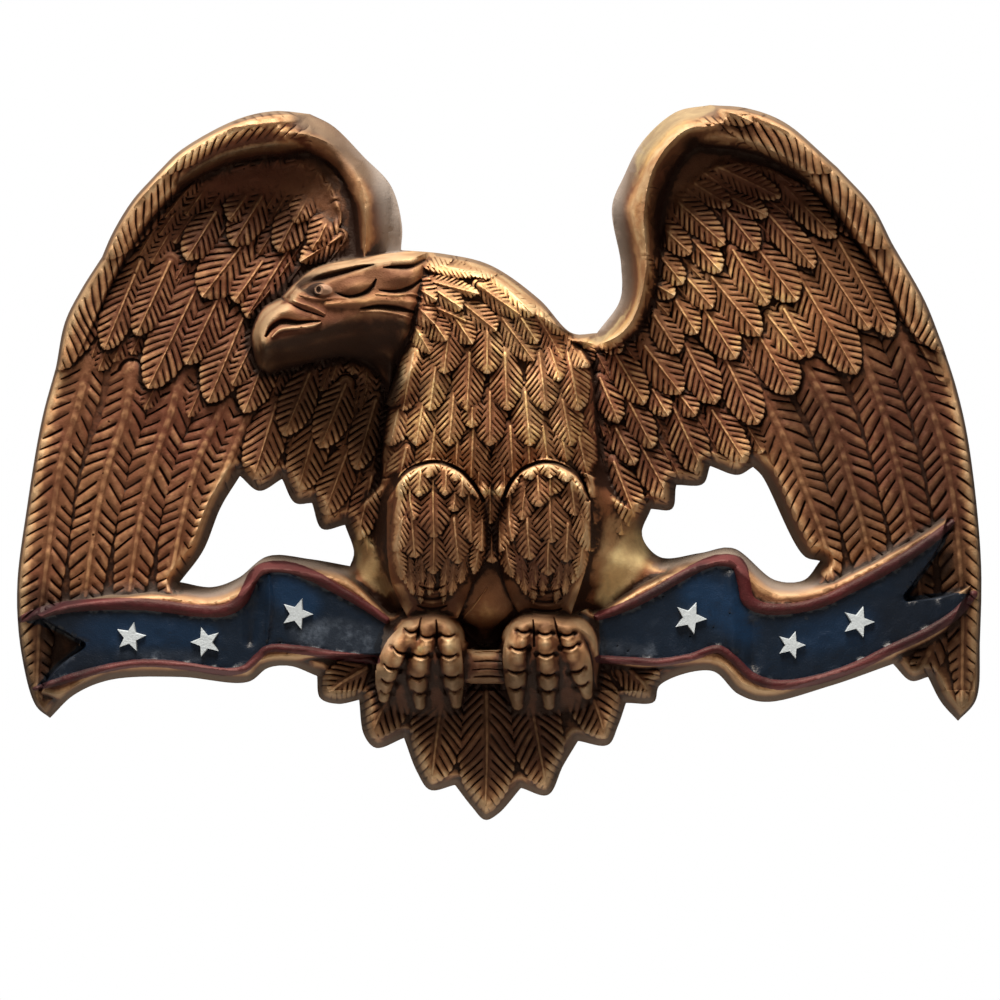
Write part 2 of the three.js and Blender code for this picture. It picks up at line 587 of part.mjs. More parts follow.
// The relief as one closed body: the worked front, a thin lip round the edge and a flat back
function reliefSolid() {
  const { points, edgeCount } = surfacePoints();
  const middle = (corner) => [0, 1].map((k) => corner.reduce((sum, i) => sum + points[i][k], 0) / 3);
  const facing = triangulate(points)
    .filter((corner) => plate.contains(middle(corner)))
    .map((corner) => outward(corner, points, -1));
  const n = points.length;
  const top = points.map((p, i) => place(...p, i < edgeCount ? LIP : Math.max(LIP, reliefHeight(p))));
  const bottom = points.map(([u, v]) => place(u, v, 0));
  const loops = openLoops(facing, points);
  const sides = loops.flatMap((loop) => loop.flatMap((a, i) => {
    const b = loop[(i + 1) % loop.length];
    return [[b, a, a + n], [b, a + n, b + n]];
  }));
  const [outline, ...holes] = loops.map((loop) => loop.map((i) => new THREE.Vector2(...points[i])));
  const rim = loops.flat();
  const under = THREE.ShapeUtils.triangulateShape(outline, holes).map((corner) =>
    outward(corner.map((i) => rim[i]), points, 1).map((i) => i + n));
  const body = new THREE.BufferGeometry();
  body.setAttribute('position', new THREE.Float32BufferAttribute([...top, ...bottom].flat(), 3));
  body.setIndex([...facing, ...under, ...sides].flat());
  return solidOf(body);
}

function casting() {
  const [x, , z] = place(POCKET_AT[0], POCKET_AT[1], 0);
  const pocket = new THREE.BoxGeometry(POCKET_WIDTH, 2 * POCKET_DEPTH, POCKET_HEIGHT);
  pocket.translate(x, 0, z);
  return reliefSolid().subtract(solidOf(pocket));
}

function meshFrom(solid, name, material) {
  const data = solid.getMesh();
  const geometry = new THREE.BufferGeometry();
  geometry.setAttribute('position', new THREE.BufferAttribute(new Float32Array(data.vertProperties), 3));
  geometry.setIndex(Array.from(data.triVerts));
  geometry.computeVertexNormals();
  const mesh = new THREE.Mesh(geometry, material);
  mesh.name = name;
  return mesh;
}

const bronzePaint = new THREE.MeshStandardMaterial({ color: 0x7a4a28, roughness: 0.45, metalness: 0.35 });

const plaque = new THREE.Group();
plaque.add(meshFrom(casting(), 'eagle_casting', bronzePaint));

export default plaque;
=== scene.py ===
"""Eagle wall plaque: a cast relief of an eagle on a starred ribbon, and its painted finish.

The relief is worked out on a drawing sheet, 1000 units square, as the plaque looks from the eye's
distance in front. Every place on it has a height over the flat back, in metres.
"""

import logging
import math
from dataclasses import dataclass, field
from enum import Enum
from typing import Any, Callable, Iterable, Sequence

import bpy
import numpy as np
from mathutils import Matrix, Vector
from mathutils.geometry import delaunay_2d_cdt


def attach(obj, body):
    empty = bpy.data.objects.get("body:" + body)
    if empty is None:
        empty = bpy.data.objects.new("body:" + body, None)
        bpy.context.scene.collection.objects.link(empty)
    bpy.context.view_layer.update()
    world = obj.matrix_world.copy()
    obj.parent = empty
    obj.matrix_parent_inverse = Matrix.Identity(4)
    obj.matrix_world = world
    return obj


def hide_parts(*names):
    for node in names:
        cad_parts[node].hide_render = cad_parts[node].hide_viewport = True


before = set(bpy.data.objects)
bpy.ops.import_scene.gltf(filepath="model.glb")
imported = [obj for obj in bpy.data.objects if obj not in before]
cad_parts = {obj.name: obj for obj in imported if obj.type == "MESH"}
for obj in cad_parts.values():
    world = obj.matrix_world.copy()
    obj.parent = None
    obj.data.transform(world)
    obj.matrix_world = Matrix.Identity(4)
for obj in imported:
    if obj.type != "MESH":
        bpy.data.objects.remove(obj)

LOG = logging.getLogger("plaque")
CASTING_NODE = "eagle_casting"
BODY = "root"
MM = 0.001

Point = tuple[float, float]
Line = np.ndarray
Field = np.ndarray
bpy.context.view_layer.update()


# Heights over the back, in millimetres
WING_LEVEL = 25.0
DISH_LEVEL = 19.0
WEB_LEVEL = 50.0
TAIL_LEVEL = 26.0
RIBBON_LEVEL = 36.0
RIBBON_EDGE_RISE = 2.2
STAR_RISE = 2.0
BREAST_HEIGHT = 71.0
CROTCH_HEIGHT = 50.0
NECK_HEIGHT = 73.0
HEAD_HEIGHT = 76.0
THIGH_HEIGHT = 75.0
TOE_HEIGHT = 66.0
PAD_HEIGHT = 55.0
LIP = 2.0
TALLEST = 81.6

# On the sheet: how far apart an outline's points lie, and where the tail begins
OUTLINE_STEP = 3.0
TAIL_TOP = 690
# Degrees from which an edge is shown sharp
CREASE_ANGLE = 62.0


@dataclass(frozen=True)
class Sheet:
    """The drawing sheet and the eye that looks at it.

    Attributes:
        plaque_width: real width of the plaque, in metres.
        span: width of the plaque on the sheet.
        eye: distance from the eye to the back of the plaque, in metres.
        axis: the place on the sheet that the eye looks at.
        origin: the place on the sheet where the plaque's own origin lies.
    """

    plaque_width: float = 0.460
    span: float = 965.0
    eye: float = 1.05
    axis: Point = (500.0, 500.0)
    origin: Point = (500.0, 463.0)

    @property
    def unit(self) -> float:
        """Length of one sheet unit at the back of the plaque, in metres."""
        return self.plaque_width / self.span

    @property
    def drop(self) -> float:
        """How far the eye's axis lies below the origin, in metres."""
        return (self.axis[1] - self.origin[1]) * self.unit

    def place(self, u: Field, v: Field, height: Field) -> Field:
        """Turns sheet places and heights into points of the plaque.

        Args:
            u: places across the sheet.
            v: places down the sheet.
            height: heights over the back, in metres.

        Returns:
            An array of points, one row each, in metres.
        """
        scale = self.unit * (1.0 - height / self.eye)
        across = (u - self.axis[0]) * scale
        up = (self.axis[1] - v) * scale - self.drop
        return np.stack([across, -height, up], axis=-1)

    def unplace(self, points: Field) -> tuple[Field, Field]:
        """Turns points of the plaque back into sheet places.

        Args:
            points: an array of points, one row each, in metres.

        Returns:
            The places across and down the sheet.
        """
        scale = self.unit * (1.0 + points[:, 1] / self.eye)
        return points[:, 0] / scale + self.axis[0], self.axis[1] - (points[:, 2] + self.drop) / scale


SHEET = Sheet()


@dataclass(frozen=True)
class Run:
    """One smooth stretch of an outline.

    Attributes:
        band: width over which the surface climbs from its foot to its full height.
        points: places that the curve passes through, one row each.
    """

    band: float
    points: Line


def stations(numbers: Any, size: int = 3) -> Line:
    """Sorts numbers into rows of a place and what belongs to it, such as a half width."""
    return np.reshape(np.asarray(numbers, float), (-1, size))


def outline(*rows: Sequence[float]) -> tuple[Run, ...]:
    """Makes a closed outline of runs that each start where the one before ends.

    Args:
        rows: for each run its band, and then the places that its curve passes through.

    Returns:
        The runs.
    """
    last, runs = rows[-1][-2:], []
    for band, *places in rows:
        runs.append(Run(band, stations([*last, *places], 2)))
        last = places[-2:]
    return tuple(runs)


def smooth_curve(points: Sequence[Sequence[float]], step: float) -> Line:
    """Draws a centripetal curve through points and spaces it evenly.

    Args:
        points: rows of two or more numbers, of which the first two are the place.
        step: distance between the points of the result.

    Returns:
        An array with a row for each point of the curve.
    """
    rows = np.asarray(points, float)
    rows = np.vstack([2 * rows[0] - rows[1], rows, 2 * rows[-1] - rows[-2]])
    gaps = np.sqrt(np.maximum(np.hypot(*np.diff(rows[:, :2], axis=0).T), 1e-6))
    share = np.linspace(0.0, 1.0, 17)[:, None]
    pieces = []
    for i in range(1, len(rows) - 2):
        p0, p1, p2, p3 = rows[i - 1 : i + 3]
        d0, d1, d2 = gaps[i - 1 : i + 2]
        leave = d1 * ((p1 - p0) / d0 - (p2 - p0) / (d0 + d1) + (p2 - p1) / d1)
        arrive = d1 * ((p2 - p1) / d1 - (p3 - p1) / (d1 + d2) + (p3 - p2) / d2)
        second = 3 * (p2 - p1) - 2 * leave - arrive
        third = 2 * (p1 - p2) + leave + arrive
        piece = p1 + share * (leave + share * (second + share * third))
        pieces.append(piece[:-1] if i < len(rows) - 3 else piece)
    dense = np.vstack(pieces)
    along = np.concatenate([[0.0], np.cumsum(np.hypot(*np.diff(dense[:, :2], axis=0).T))])
    count = max(1, round(along[-1] / step))
    stations = np.linspace(0.0, along[-1], count + 1)
    return np.stack([np.interp(stations, along, column) for column in dense.T], axis=1)


def ring(runs: Iterable[Run]) -> Line:
    """Joins an outline's runs into one closed loop of points."""
    return np.vstack([smooth_curve(one.points, OUTLINE_STEP)[:-1] for one in runs])


def ease(low: float, high: float, value: Field) -> Field:
    """Rises smoothly from 0 at low to 1 at high."""
    t = np.clip((value - low) / (high - low), 0.0, 1.0)
    return t * t * (3.0 - 2.0 * t)


@dataclass
class Window:
    """A rectangle of the canvas, with the places of its corners and its slices."""

    rows: slice
    cols: slice
    u: Field
    v: Field


@dataclass
class Canvas:
    """An even net of places on the sheet, on which heights and paint masks are worked out.

    Attributes:
        left, top, right, bottom: the part of the sheet that the net covers.
        cell: distance between two neighbouring places.
    """

    left: float = 6.0
    top: float = 96.0
    right: float = 994.0
    bottom: float = 830.0
    cell: float = 0.75

    def __post_init__(self) -> None:
        """Lays out the net."""
        self.u = np.arange(self.left, self.right, self.cell)
        self.v = np.arange(self.top, self.bottom, self.cell)
        self.shape = (len(self.v), len(self.u))

    def zeros(self) -> Field:
        """An empty field over the whole net."""
        return np.zeros(self.shape)

    def window(self, points: Line, reach: float) -> Window:
        """Finds the part of the net within reach of some points.

        Args:
            points: rows that begin with a place.
            reach: how far round them the part goes.

        Returns:
            The part.
        """
        low, high = points[:, :2].min(0) - reach, points[:, :2].max(0) + reach
        c0, c1 = (int((x - self.left) / self.cell) for x in (low[0], high[0] + self.cell))
        r0, r1 = (int((y - self.top) / self.cell) for y in (low[1], high[1] + self.cell))
        rows = slice(max(r0, 0), max(min(r1, self.shape[0]), 0))
        cols = slice(max(c0, 0), max(min(c1, self.shape[1]), 0))
        u, v = np.meshgrid(self.u[cols], self.v[rows])
        return Window(rows, cols, u, v)

    def inside(self, loops: Iterable[Line], shift: float = 0.0) -> Field:
        """Says which places lie inside an odd number of loops.

        Args:
            loops: closed loops of points.
            shift: how far the tested places lie from the net's, in cells.

        Returns:
            A field of true and false.
        """
        flips = np.zeros((self.shape[0], self.shape[1] + 1), int)
        left, top = self.left + shift * self.cell, self.top + shift * self.cell
        for loop in loops:
            for (ax, ay), (bx, by) in zip(loop, np.roll(loop, -1, axis=0)):
                first, last = (math.ceil((y - top) / self.cell) for y in sorted((ay, by)))
                rows = np.arange(max(first, 0), min(last, self.shape[0]))
                if len(rows) == 0:
                    continue
                at = ax + (top + rows * self.cell - ay) * (bx - ax) / (by - ay)
                cols = np.clip(np.ceil((at - left) / self.cell), 0, self.shape[1]).astype(int)
                flips[rows, cols] += 1
        return np.cumsum(flips, axis=1)[:, :-1] % 2 == 1

    def climb(self, runs: Iterable[Run], most: float = 1.9) -> Field:
        """Measures the distance from an outline, as a share of each run's band.

        Args:
            runs: the outline.
            most: the share at which the measuring ends.

        Returns:
            The shares.
        """
        share = np.full(self.shape, most)
        for one in runs:
            line = smooth_curve(one.points, 6.0)
            for a, b in zip(line[:-1], line[1:]):
                part = self.window(np.stack([a, b]), most * one.band)
                near = segment_distance(part.u, part.v, a, b)[0] / one.band
                np.minimum(share[part.rows, part.cols], near, out=share[part.rows, part.cols])
        return share

    def daub(self, strokes: Iterable[Sequence[float]]) -> Field:
        """Paints soft strokes.

        Args:
            strokes: for each its strength, and then places with the half width there.

        Returns:
            A field of their strength.
        """
        laid = self.zeros()
        for strength, *numbers in strokes:
            line = smooth_curve(stations(numbers), 4.0)
            got = trace(self, line, line[:, 2].max())
            share = got.distance / np.maximum(got.carried[0], 0.05)
            part = laid[got.part.rows, got.part.cols]
            np.maximum(part, strength * (1 - ease(0.25, 1.0, share)), out=part)
        return laid

    def blur(self, values: Field, radius: float) -> Field:
        """Spreads a field evenly by three running means.

        Args:
            values: the field.
            radius: how far it spreads, in sheet units.

        Returns:
            The spread field.
        """
        half = max(1, round(radius / self.cell / 1.7))
        for axis in (0, 1) * 3:
            values = np.moveaxis(values, axis, 0)
            before, after = values[:1].repeat(half + 1, 0), values[-1:].repeat(half, 0)
            padded = np.concatenate([before, values, after])
            total = np.cumsum(padded, axis=0)
            values = (total[2 * half + 1 :] - total[: -2 * half - 1]) / (2 * half + 1)
            values = np.moveaxis(values, 0, axis)
        return values

    def wander(self, scale: float, seed: int) -> Field:
        """Makes a soft random field between about -1 and 1.

        Args:
            scale: width of its swells.
            seed: seed number.

        Returns:
            The field.
        """
        shape = tuple(int(n * self.cell / scale) + 3 for n in self.shape)
        net = np.random.default_rng(seed).uniform(-1, 1, shape)
        at_row, at_col = ((values - values[0]) / scale for values in (self.v, self.u))
        r0, c0 = at_row.astype(int), at_col.astype(int)
        fr, fc = ease(0, 1, at_row - r0)[:, None], ease(0, 1, at_col - c0)[None, :]
        upper = net[r0][:, c0] * (1 - fc) + net[r0][:, c0 + 1] * fc
        lower = net[r0 + 1][:, c0] * (1 - fc) + net[r0 + 1][:, c0 + 1] * fc
        return upper * (1 - fr) + lower * fr

    def sample(self, values: Field, u: Field, v: Field) -> Field:
        """Reads a field at any places, evenly between the net's own.

        Args:
            values: the field.
            u, v: the places.

        Returns:
            Its values there.
        """
        col = np.clip((u - self.left) / self.cell, 0, self.shape[1] - 1.001)
        row = np.clip((v - self.top) / self.cell, 0, self.shape[0] - 1.001)
        c, r = col.astype(int), row.astype(int)
        fc, fr = col - c, row - r
        upper = values[r, c] * (1 - fc) + values[r, c + 1] * fc
        lower = values[r + 1, c] * (1 - fc) + values[r + 1, c + 1] * fc
        return upper * (1 - fr) + lower * fr


def segment_distance(u: Field, v: Field, a: Line, b: Line) -> tuple[Field, Field, Field]:
    """Measures places against one straight segment.

    Args:
        u, v: the places.
        a, b: the segment's ends.

    Returns:
        The distance, the share along the segment, and the side, as the cross product's sign.
    """
    du, dv = b[0] - a[0], b[1] - a[1]
    length2 = max(du * du + dv * dv, 1e-9)
    t = np.clip(((u - a[0]) * du + (v - a[1]) * dv) / length2, 0.0, 1.0)
    off_u, off_v = u - a[0] - t * du, v - a[1] - t * dv
    return np.hypot(off_u, off_v), t, du * off_v - dv * off_u


@dataclass
class Trace:
    """How the places of a window lie to a line: distance, side and what is carried along it."""

    part: Window
    distance: Field
    side: Field
    along: Field
    carried: Field


def trace(canvas: Canvas, line: Line, reach: float) -> Trace:
    """Measures a window of the canvas against a line.

    Args:
        canvas: the net of places.
        line: rows of a place and, after it, any numbers that change along the line.
        reach: how far from the line the window goes.

    Returns:
        The distances, sides, lengths along the line and carried numbers.
    """
    part = canvas.window(line, reach)
    best = np.full(part.u.shape, 1e3)
    side, along = np.zeros_like(best), np.zeros_like(best)
    carried = np.zeros((line.shape[1] - 2,) + best.shape)
    start = 0.0
    for a, b in zip(line[:-1], line[1:]):
        near = canvas.window(np.stack([a, b]), reach)
        rows = slice(near.rows.start - part.rows.start, near.rows.stop - part.rows.start)
        cols = slice(near.cols.start - part.cols.start, near.cols.stop - part.cols.start)
        distance, t, turn = segment_distance(near.u, near.v, a, b)
        length = float(np.hypot(*(b - a)[:2]))
        closer = distance < best[rows, cols]
        for target, value in (
            (best, distance), (side, np.sign(turn)), (along, start + t * length),
            *((layer, a[2 + k] + t * (b - a)[2 + k]) for k, layer in enumerate(carried)),
        ):
            target[rows, cols] = np.where(closer, value, target[rows, cols])
        start += length
    return Trace(part, best, side, along, carried)


# Outlines: for each run its band and its places; a corner lies where two runs meet
PLATE_EDGE = outline(
    (34, 402, 226, 391, 186, 364, 157, 333, 126, 310, 114),
    (6, 275, 111, 238, 119, 181, 150, 157, 173),
    (5, 132, 201, 112, 234, 102, 257),
    (5, 81, 290, 65, 322, 56, 367),
    (4, 42, 419, 27, 507, 17, 590, 22, 657, 36, 706, 50, 718),
    (12, 74, 695, 110, 680, 180, 677, 248, 682, 268, 668, 290, 666, 317, 676),
    (10, 320, 698, 338, 704, 359, 700),
    (11, 364, 735, 376, 748, 404, 738),
    (11, 417, 772, 430, 790, 455, 785),
    (11, 472, 807, 485, 820, 498, 814, 521, 788),
    (11, 548, 795, 563, 766, 578, 741),
    (11, 608, 745, 618, 726, 626, 703),
    (12, 654, 702, 660, 685, 712, 671, 738, 694, 766, 702, 830, 686, 893, 664),
    (10, 911, 681, 928, 677),
    (11, 941, 702, 958, 721),
    (4, 976, 700, 980, 640, 981, 560, 969, 445, 957, 390, 943, 346),
    (5, 925, 301, 892, 243),
    (5, 873, 207, 837, 167),
    (6, 784, 122, 746, 108, 710, 105),
    (21, 676, 112, 642, 142, 624, 176, 612, 207, 621, 265, 620, 300, 597, 333),
    (7, 572, 333, 539, 299, 490, 265, 445, 254, 401, 250),
)
LEFT_HOLE = outline(
    (13, 212, 587, 238, 578, 268, 556, 310, 559, 350, 566),
    (14, 354, 553, 345, 525),
    (12, 322, 529, 312, 503),
    (12, 295, 503, 282, 479),
    (12, 259, 491, 240, 476),
    (14, 221, 507, 203, 551, 180, 582),
)
RIGHT_HOLE = outline(
    (14, 642, 535, 660, 557, 700, 553, 733, 548, 775, 580, 804, 580, 820, 561),
    (14, 804, 556, 762, 476, 753, 467),
    (12, 738, 475, 710, 466),
    (12, 703, 484, 676, 485),
    (12, 672, 509, 651, 509),
)
HEAD_EDGE = outline(
    (9, 396, 252, 350, 259, 315, 268, 294, 283, 281, 297),
    (15, 262, 308, 251, 332, 253, 354, 258, 368, 270, 375),
    (24, 302, 366, 345, 357, 372, 366, 388, 404),
    (26, 404, 376, 420, 345, 430, 318, 436, 296, 438, 268, 433, 250),
)
BREAST_EDGE = outline(
    (22, 445, 254, 490, 265, 539, 299, 574, 335),
    (72, 592, 362, 598, 416, 602, 480, 600, 560, 570, 615),
    (30, 486, 630, 402, 610),
    (44, 384, 540, 381, 450, 390, 398, 410, 346, 404, 300, 385, 252),
)
NECK_EDGE = outline(
    (20, 412, 268, 411, 296, 406, 320, 402, 345, 396, 372, 386, 404),
    (60, 430, 430, 500, 390, 520, 330, 484, 263, 410, 249),
)
# The line along the jaw, below which the head falls away
JAW_LINE = ((250, 356), (262, 351), (280, 340), (322, 331), (365, 313), (395, 316), (412, 330))
THIGH_EDGES = (
    outline(
        (36, 393, 588, 387, 550, 387, 502),
        (11, 402, 470, 434, 456, 466, 470, 486, 502),
        (36, 486, 552, 471, 588, 458, 618),
        (6, 431, 620, 408, 618),
    ),
    outline(
        (36, 506, 588, 498, 552, 500, 502),
        (11, 516, 470, 546, 456, 575, 470, 591, 502),
        (36, 590, 552, 580, 588, 570, 618),
        (6, 543, 620, 521, 618),
    ),
)
WEB_EDGES = (
    outline(
        (62, 352, 545, 350, 568, 380, 604),
        (3, 410, 620),
        (3, 420, 470, 375, 480),
        (14, 346, 520),
    ),
    outline(
        (62, 643, 545, 662, 560, 640, 588, 610, 604),
        (3, 570, 620),
        (3, 575, 470, 606, 480),
        (14, 646, 520),
    ),
)
RIBBON_EDGES = (
    outline(
        (12, 60, 596, 110, 588, 160, 585, 212, 590, 240, 578, 257, 559, 310, 561, 352, 572, 392, 606),
        (3, 420, 612, 420, 662),
        (10, 300, 666, 266, 669, 248, 680, 180, 676, 110, 679, 60, 704, 33, 699),
        (5, 52, 668, 81, 645),
        (5, 54, 630, 24, 611),
    ),
    outline(
        (12, 650, 572, 705, 552, 734, 549, 775, 581, 815, 579, 870, 554, 952, 506),
        (5, 944, 545, 908, 597),
        (5, 945, 592, 982, 577),
        (10, 955, 632, 895, 664, 830, 686, 766, 701, 738, 692, 712, 670, 640, 676, 596, 668),
        (3, 575, 662, 575, 612, 596, 604),
    ),
)
FOOT_EDGES = (
    outline(
        (18, 388, 636, 398, 620, 414, 611, 432, 607, 452, 612, 464, 628, 468, 662),
        (58, 462, 684, 430, 690, 392, 684, 384, 662),
    ),
    outline(
        (18, 503, 628, 520, 611, 543, 607, 566, 611, 586, 618, 598, 634, 600, 662),
        (58, 592, 684, 543, 690, 508, 684, 500, 662),
    ),
)
PAD_EDGES = (
    outline(
        (11, 468, 640, 430, 634, 386, 640, 376, 672, 375, 690),
        (30, 384, 706, 420, 716, 456, 712, 468, 690),
    ),
    outline(
        (11, 598, 640, 543, 634, 500, 640, 500, 690),
        (30, 516, 713, 550, 714, 588, 706, 598, 690),
    ),
)

# Fields of the wings and the breast that are feathered all over
FEATHERED_FIELDS = (
    (150, 222, 200, 176, 270, 160, 318, 176, 332, 205, 340, 262, 385, 300, 392, 400, 385, 545, 340, 545,
     240, 480, 246, 430, 205, 400, 150, 392, 110, 370, 66, 368, 110, 270),
    (653, 225, 688, 182, 760, 158, 830, 190, 884, 255, 938, 350, 890, 345, 850, 350, 800, 378, 758, 400,
     750, 470, 660, 510, 640, 545, 604, 500, 590, 400, 600, 350, 648, 318),
)
BREAST_FIELD = (
    422, 250, 445, 252, 492, 263, 541, 297, 577, 334, 596, 380, 602, 460, 594, 560, 500, 548, 470, 548,
    392, 560, 386, 450, 396, 390, 414, 345, 420, 300,
)
# Smooth rims without feathers: strength, then places and half widths
BARE = (
    (1.0, 312, 112, 16, 340, 136, 20, 364, 172, 24, 376, 215, 26, 384, 262, 24),
    (1.0, 708, 100, 12, 680, 118, 26, 650, 146, 28, 634, 190, 26, 632, 250, 22, 634, 300, 16, 612, 336, 14,
     580, 342, 10),
    (1.0, 180, 184, 8, 215, 160, 14, 255, 148, 18, 300, 150, 20, 335, 172, 20, 350, 205, 16, 356, 240, 11,
     350, 256, 12), (0.85, 215, 184, 24, 300, 182, 30, 332, 215, 14),
    (1.0, 655, 250, 12, 662, 205, 19, 690, 165, 24, 730, 155, 12, 780, 168, 9, 806, 182, 5),
    (0.5, 700, 190, 28, 760, 180, 30, 800, 195, 18), (1.0, 300, 340, 14, 350, 350, 18, 385, 372, 12),
    (1.0, 389, 500, 3, 396, 484, 3, 409, 470, 3, 434, 462, 3, 459, 470, 3, 473, 484, 3, 483, 500, 3),
    (1.0, 503, 500, 3, 510, 484, 3, 522, 470, 3, 546, 462, 3, 570, 470, 3, 583, 484, 3, 588, 500, 3),
)
# Places that were smoothed by hand: strength, then places and half widths
SMOOTHED = (
    (1.0, 352, 560, 26, 372, 570, 26, 392, 600, 20),
    (1.0, 640, 530, 26, 632, 565, 34, 610, 590, 24, 596, 600, 14), (0.9, 487, 590, 22, 486, 625, 24),
    (0.9, 392, 480, 12, 384, 550, 18, 388, 582, 20), (0.9, 600, 470, 12, 606, 520, 20, 603, 575, 24),
)

# The ribbon's red cords: places along the middle, each with the half width
RED_CORDS = (
    (20, 620, 3, 30, 616, 5, 61, 608, 6, 107, 604, 6, 153, 605, 6, 199, 611, 6, 226, 610, 6, 241, 601, 6,
     248, 588, 6, 256, 573, 6, 269, 567, 6, 291, 568, 6, 315, 577, 6, 342, 592, 5, 366, 606, 4.5, 386, 620,
     4),
    (34, 689, 2, 61, 681, 4, 103, 669, 4, 145, 663, 4, 192, 667, 4, 228, 672, 4, 246, 668, 4, 258, 657, 4,
     268, 649, 4, 300, 650, 4.5, 339, 656, 4.5, 376, 660, 4.5),
    (598, 616, 4.5, 622, 608, 5, 656, 591, 5, 680, 577, 5, 705, 564, 5.5, 721, 560, 6, 738, 564, 7, 744,
     582, 6.5, 748, 600, 6.5, 762, 608, 6, 786, 609, 5.5, 818, 603, 5.5, 858, 584, 5.5, 906, 557, 5.5, 936,
     536, 5, 952, 522, 3),
    (598, 659, 4, 630, 661, 4, 662, 662, 4, 692, 657, 4, 718, 649, 4, 734, 660, 4.5, 752, 677, 5, 778, 685,
     5, 820, 679, 5, 862, 664, 5, 892, 649, 5, 926, 633, 5, 956, 614, 5, 974, 594, 4),
)

# Crests of the rounded rims: places with the height over the back in millimetres and the half width
RIMS = (
    (364, 262, 46, 12, 366, 232, 50, 15, 363, 190, 55, 18, 345, 155, 56, 20, 312, 136, 54, 20, 275, 132, 50,
     20, 220, 143, 46, 20, 175, 168, 42, 20, 132, 214, 36, 20, 104, 262, 32, 20, 76, 330, 28, 18, 60, 372,
     26, 14),
    (572, 340, 42, 14, 602, 343, 46, 14, 629, 325, 50, 16, 646, 271, 53, 18, 644, 211, 55, 20, 656, 163, 56,
     22, 686, 130, 55, 22, 730, 124, 51, 20, 790, 145, 46, 20, 838, 184, 42, 20, 886, 252, 36, 20, 926, 330,
     30, 18, 944, 372, 27, 14),
)
DISH_CENTRES = ((285, 175), (700, 165))
DISH_RADIUS = 120.0
EYE = (318.6, 289.5)


def merged(first: Field, second: Field, soft: float) -> Field:
    """Joins two forms with a fillet.

    Args:
        first, second: their heights, 0 where they aren't.
        soft: height difference below which they run into each other.

    Returns:
        The joined heights.
    """
    near = np.maximum(soft - np.abs(first - second), 0) * (second > 0)
    return np.maximum(first, second) + near * near / (4 * soft)


class Relief:
    """Heights over the back, worked up form by form.

    Attributes:
        canvas: the net of places.
        height: heights in millimetres.
    """

    def __init__(self, canvas: Canvas) -> None:
        """Starts with nothing on the sheet."""
        self.canvas = canvas
        self.height = canvas.zeros()

    def mound(self, edge: Sequence[Run], foot: float, crown: float | Field, roundness: float,
              holes: Sequence[Sequence[Run]] = ()) -> Field:
        """Works out a form that rises from its outline.

        Args:
            edge: the outline.
            foot: height at the outline.
            crown: full height, one number or a field.
            roundness: 1 for a straight climb, 2 for a round one.
            holes: outlines of openings.

        Returns:
            Its heights, 0 outside it.
        """
        loops = [edge, *holes]
        within = self.canvas.inside([ring(loop) for loop in loops])
        t = self.canvas.climb([one for loop in loops for one in loop])
        rise = (1 - (1 - np.minimum(t, 1.0)) ** roundness) ** (1 / roundness)
        return np.where(within, foot + (crown - foot) * rise, 0.0)

    def join(self, edges: Iterable[Sequence[Run]], foot: float, crown: float | Field, roundness: float,
             soft: float) -> None:
        """Joins mounds to what is there.

        Args:
            edges: their outlines.
            foot, crown, roundness: as for a mound.
            soft: height difference below which they run into each other, in millimetres.
        """
        for edge in edges:
            self.height = merged(self.height, self.mound(edge, foot, crown, roundness), soft)

    def bar(self, crest: Sequence[float], drop: float) -> tuple[Window, Field]:
        """Works out a bar that falls away to both sides of its crest in a half round.

        Args:
            crest: places along it, each with its height in millimetres and the bar's half width.
            drop: how far the sides lie below the crest, in millimetres.

        Returns:
            The window it covers, and its heights there.
        """
        line = smooth_curve(stations(crest, 4), 4.0)
        got = trace(self.canvas, line, 1.05 * line[:, 3].max())
        t = got.distance / np.maximum(got.carried[1], 0.05)
        height = got.carried[0] - drop * (1 - np.sqrt(np.maximum(0, 1 - t * t)))
        return got.part, np.where(t < 1, height, 0.0)

    def raise_to(self, part: Window, height: Field, soft: float) -> None:
        """Keeps the higher of what is there and a new form, with a fillet."""
        there = self.height[part.rows, part.cols]
        there[:] = merged(there, height, soft)

    def stroke(self, places: Any, amount: float, round_top: bool = False) -> None:
        """Adds a ridge, or with a negative amount cuts a groove, that tapers with its stations.

        Args:
            places: places along the stroke, each with its half width.
            amount: height of the ridge or depth of the groove at its middle, in millimetres.
            round_top: whether the section is round rather than pointed.
        """
        line = smooth_curve(stations(places), 2.5)
        got = trace(self.canvas, line, line[:, 2].max() + 1)
        t = np.clip(got.distance / np.maximum(got.carried[0], 0.05), 0, 1)
        shape = np.sqrt(1 - t * t) if round_top else 1 - ease(0, 1, t)
        full = np.minimum(1.0, got.carried[0] / (0.4 * line[:, 2].max()))
        self.height[got.part.rows, got.part.cols] += amount * shape * full

    def blob(self, centre: Point, radii: Point, turn: float, amount: float) -> None:
        """Adds a smooth oval swelling, or with a negative amount a hollow.

        Args:
            centre: its place.
            radii: its half width and half height.
            turn: how far it leans, in degrees.
            amount: how far its middle rises, in millimetres.
        """
        part = self.canvas.window(np.array([centre]), max(radii))
        angle = math.radians(turn)
        du, dv = part.u - centre[0], part.v - centre[1]
        x = (du * math.cos(angle) + dv * math.sin(angle)) / radii[0]
        y = (dv * math.cos(angle) - du * math.sin(angle)) / radii[1]
        self.height[part.rows, part.cols] += amount * (1 - ease(0, 1, np.hypot(x, y)))


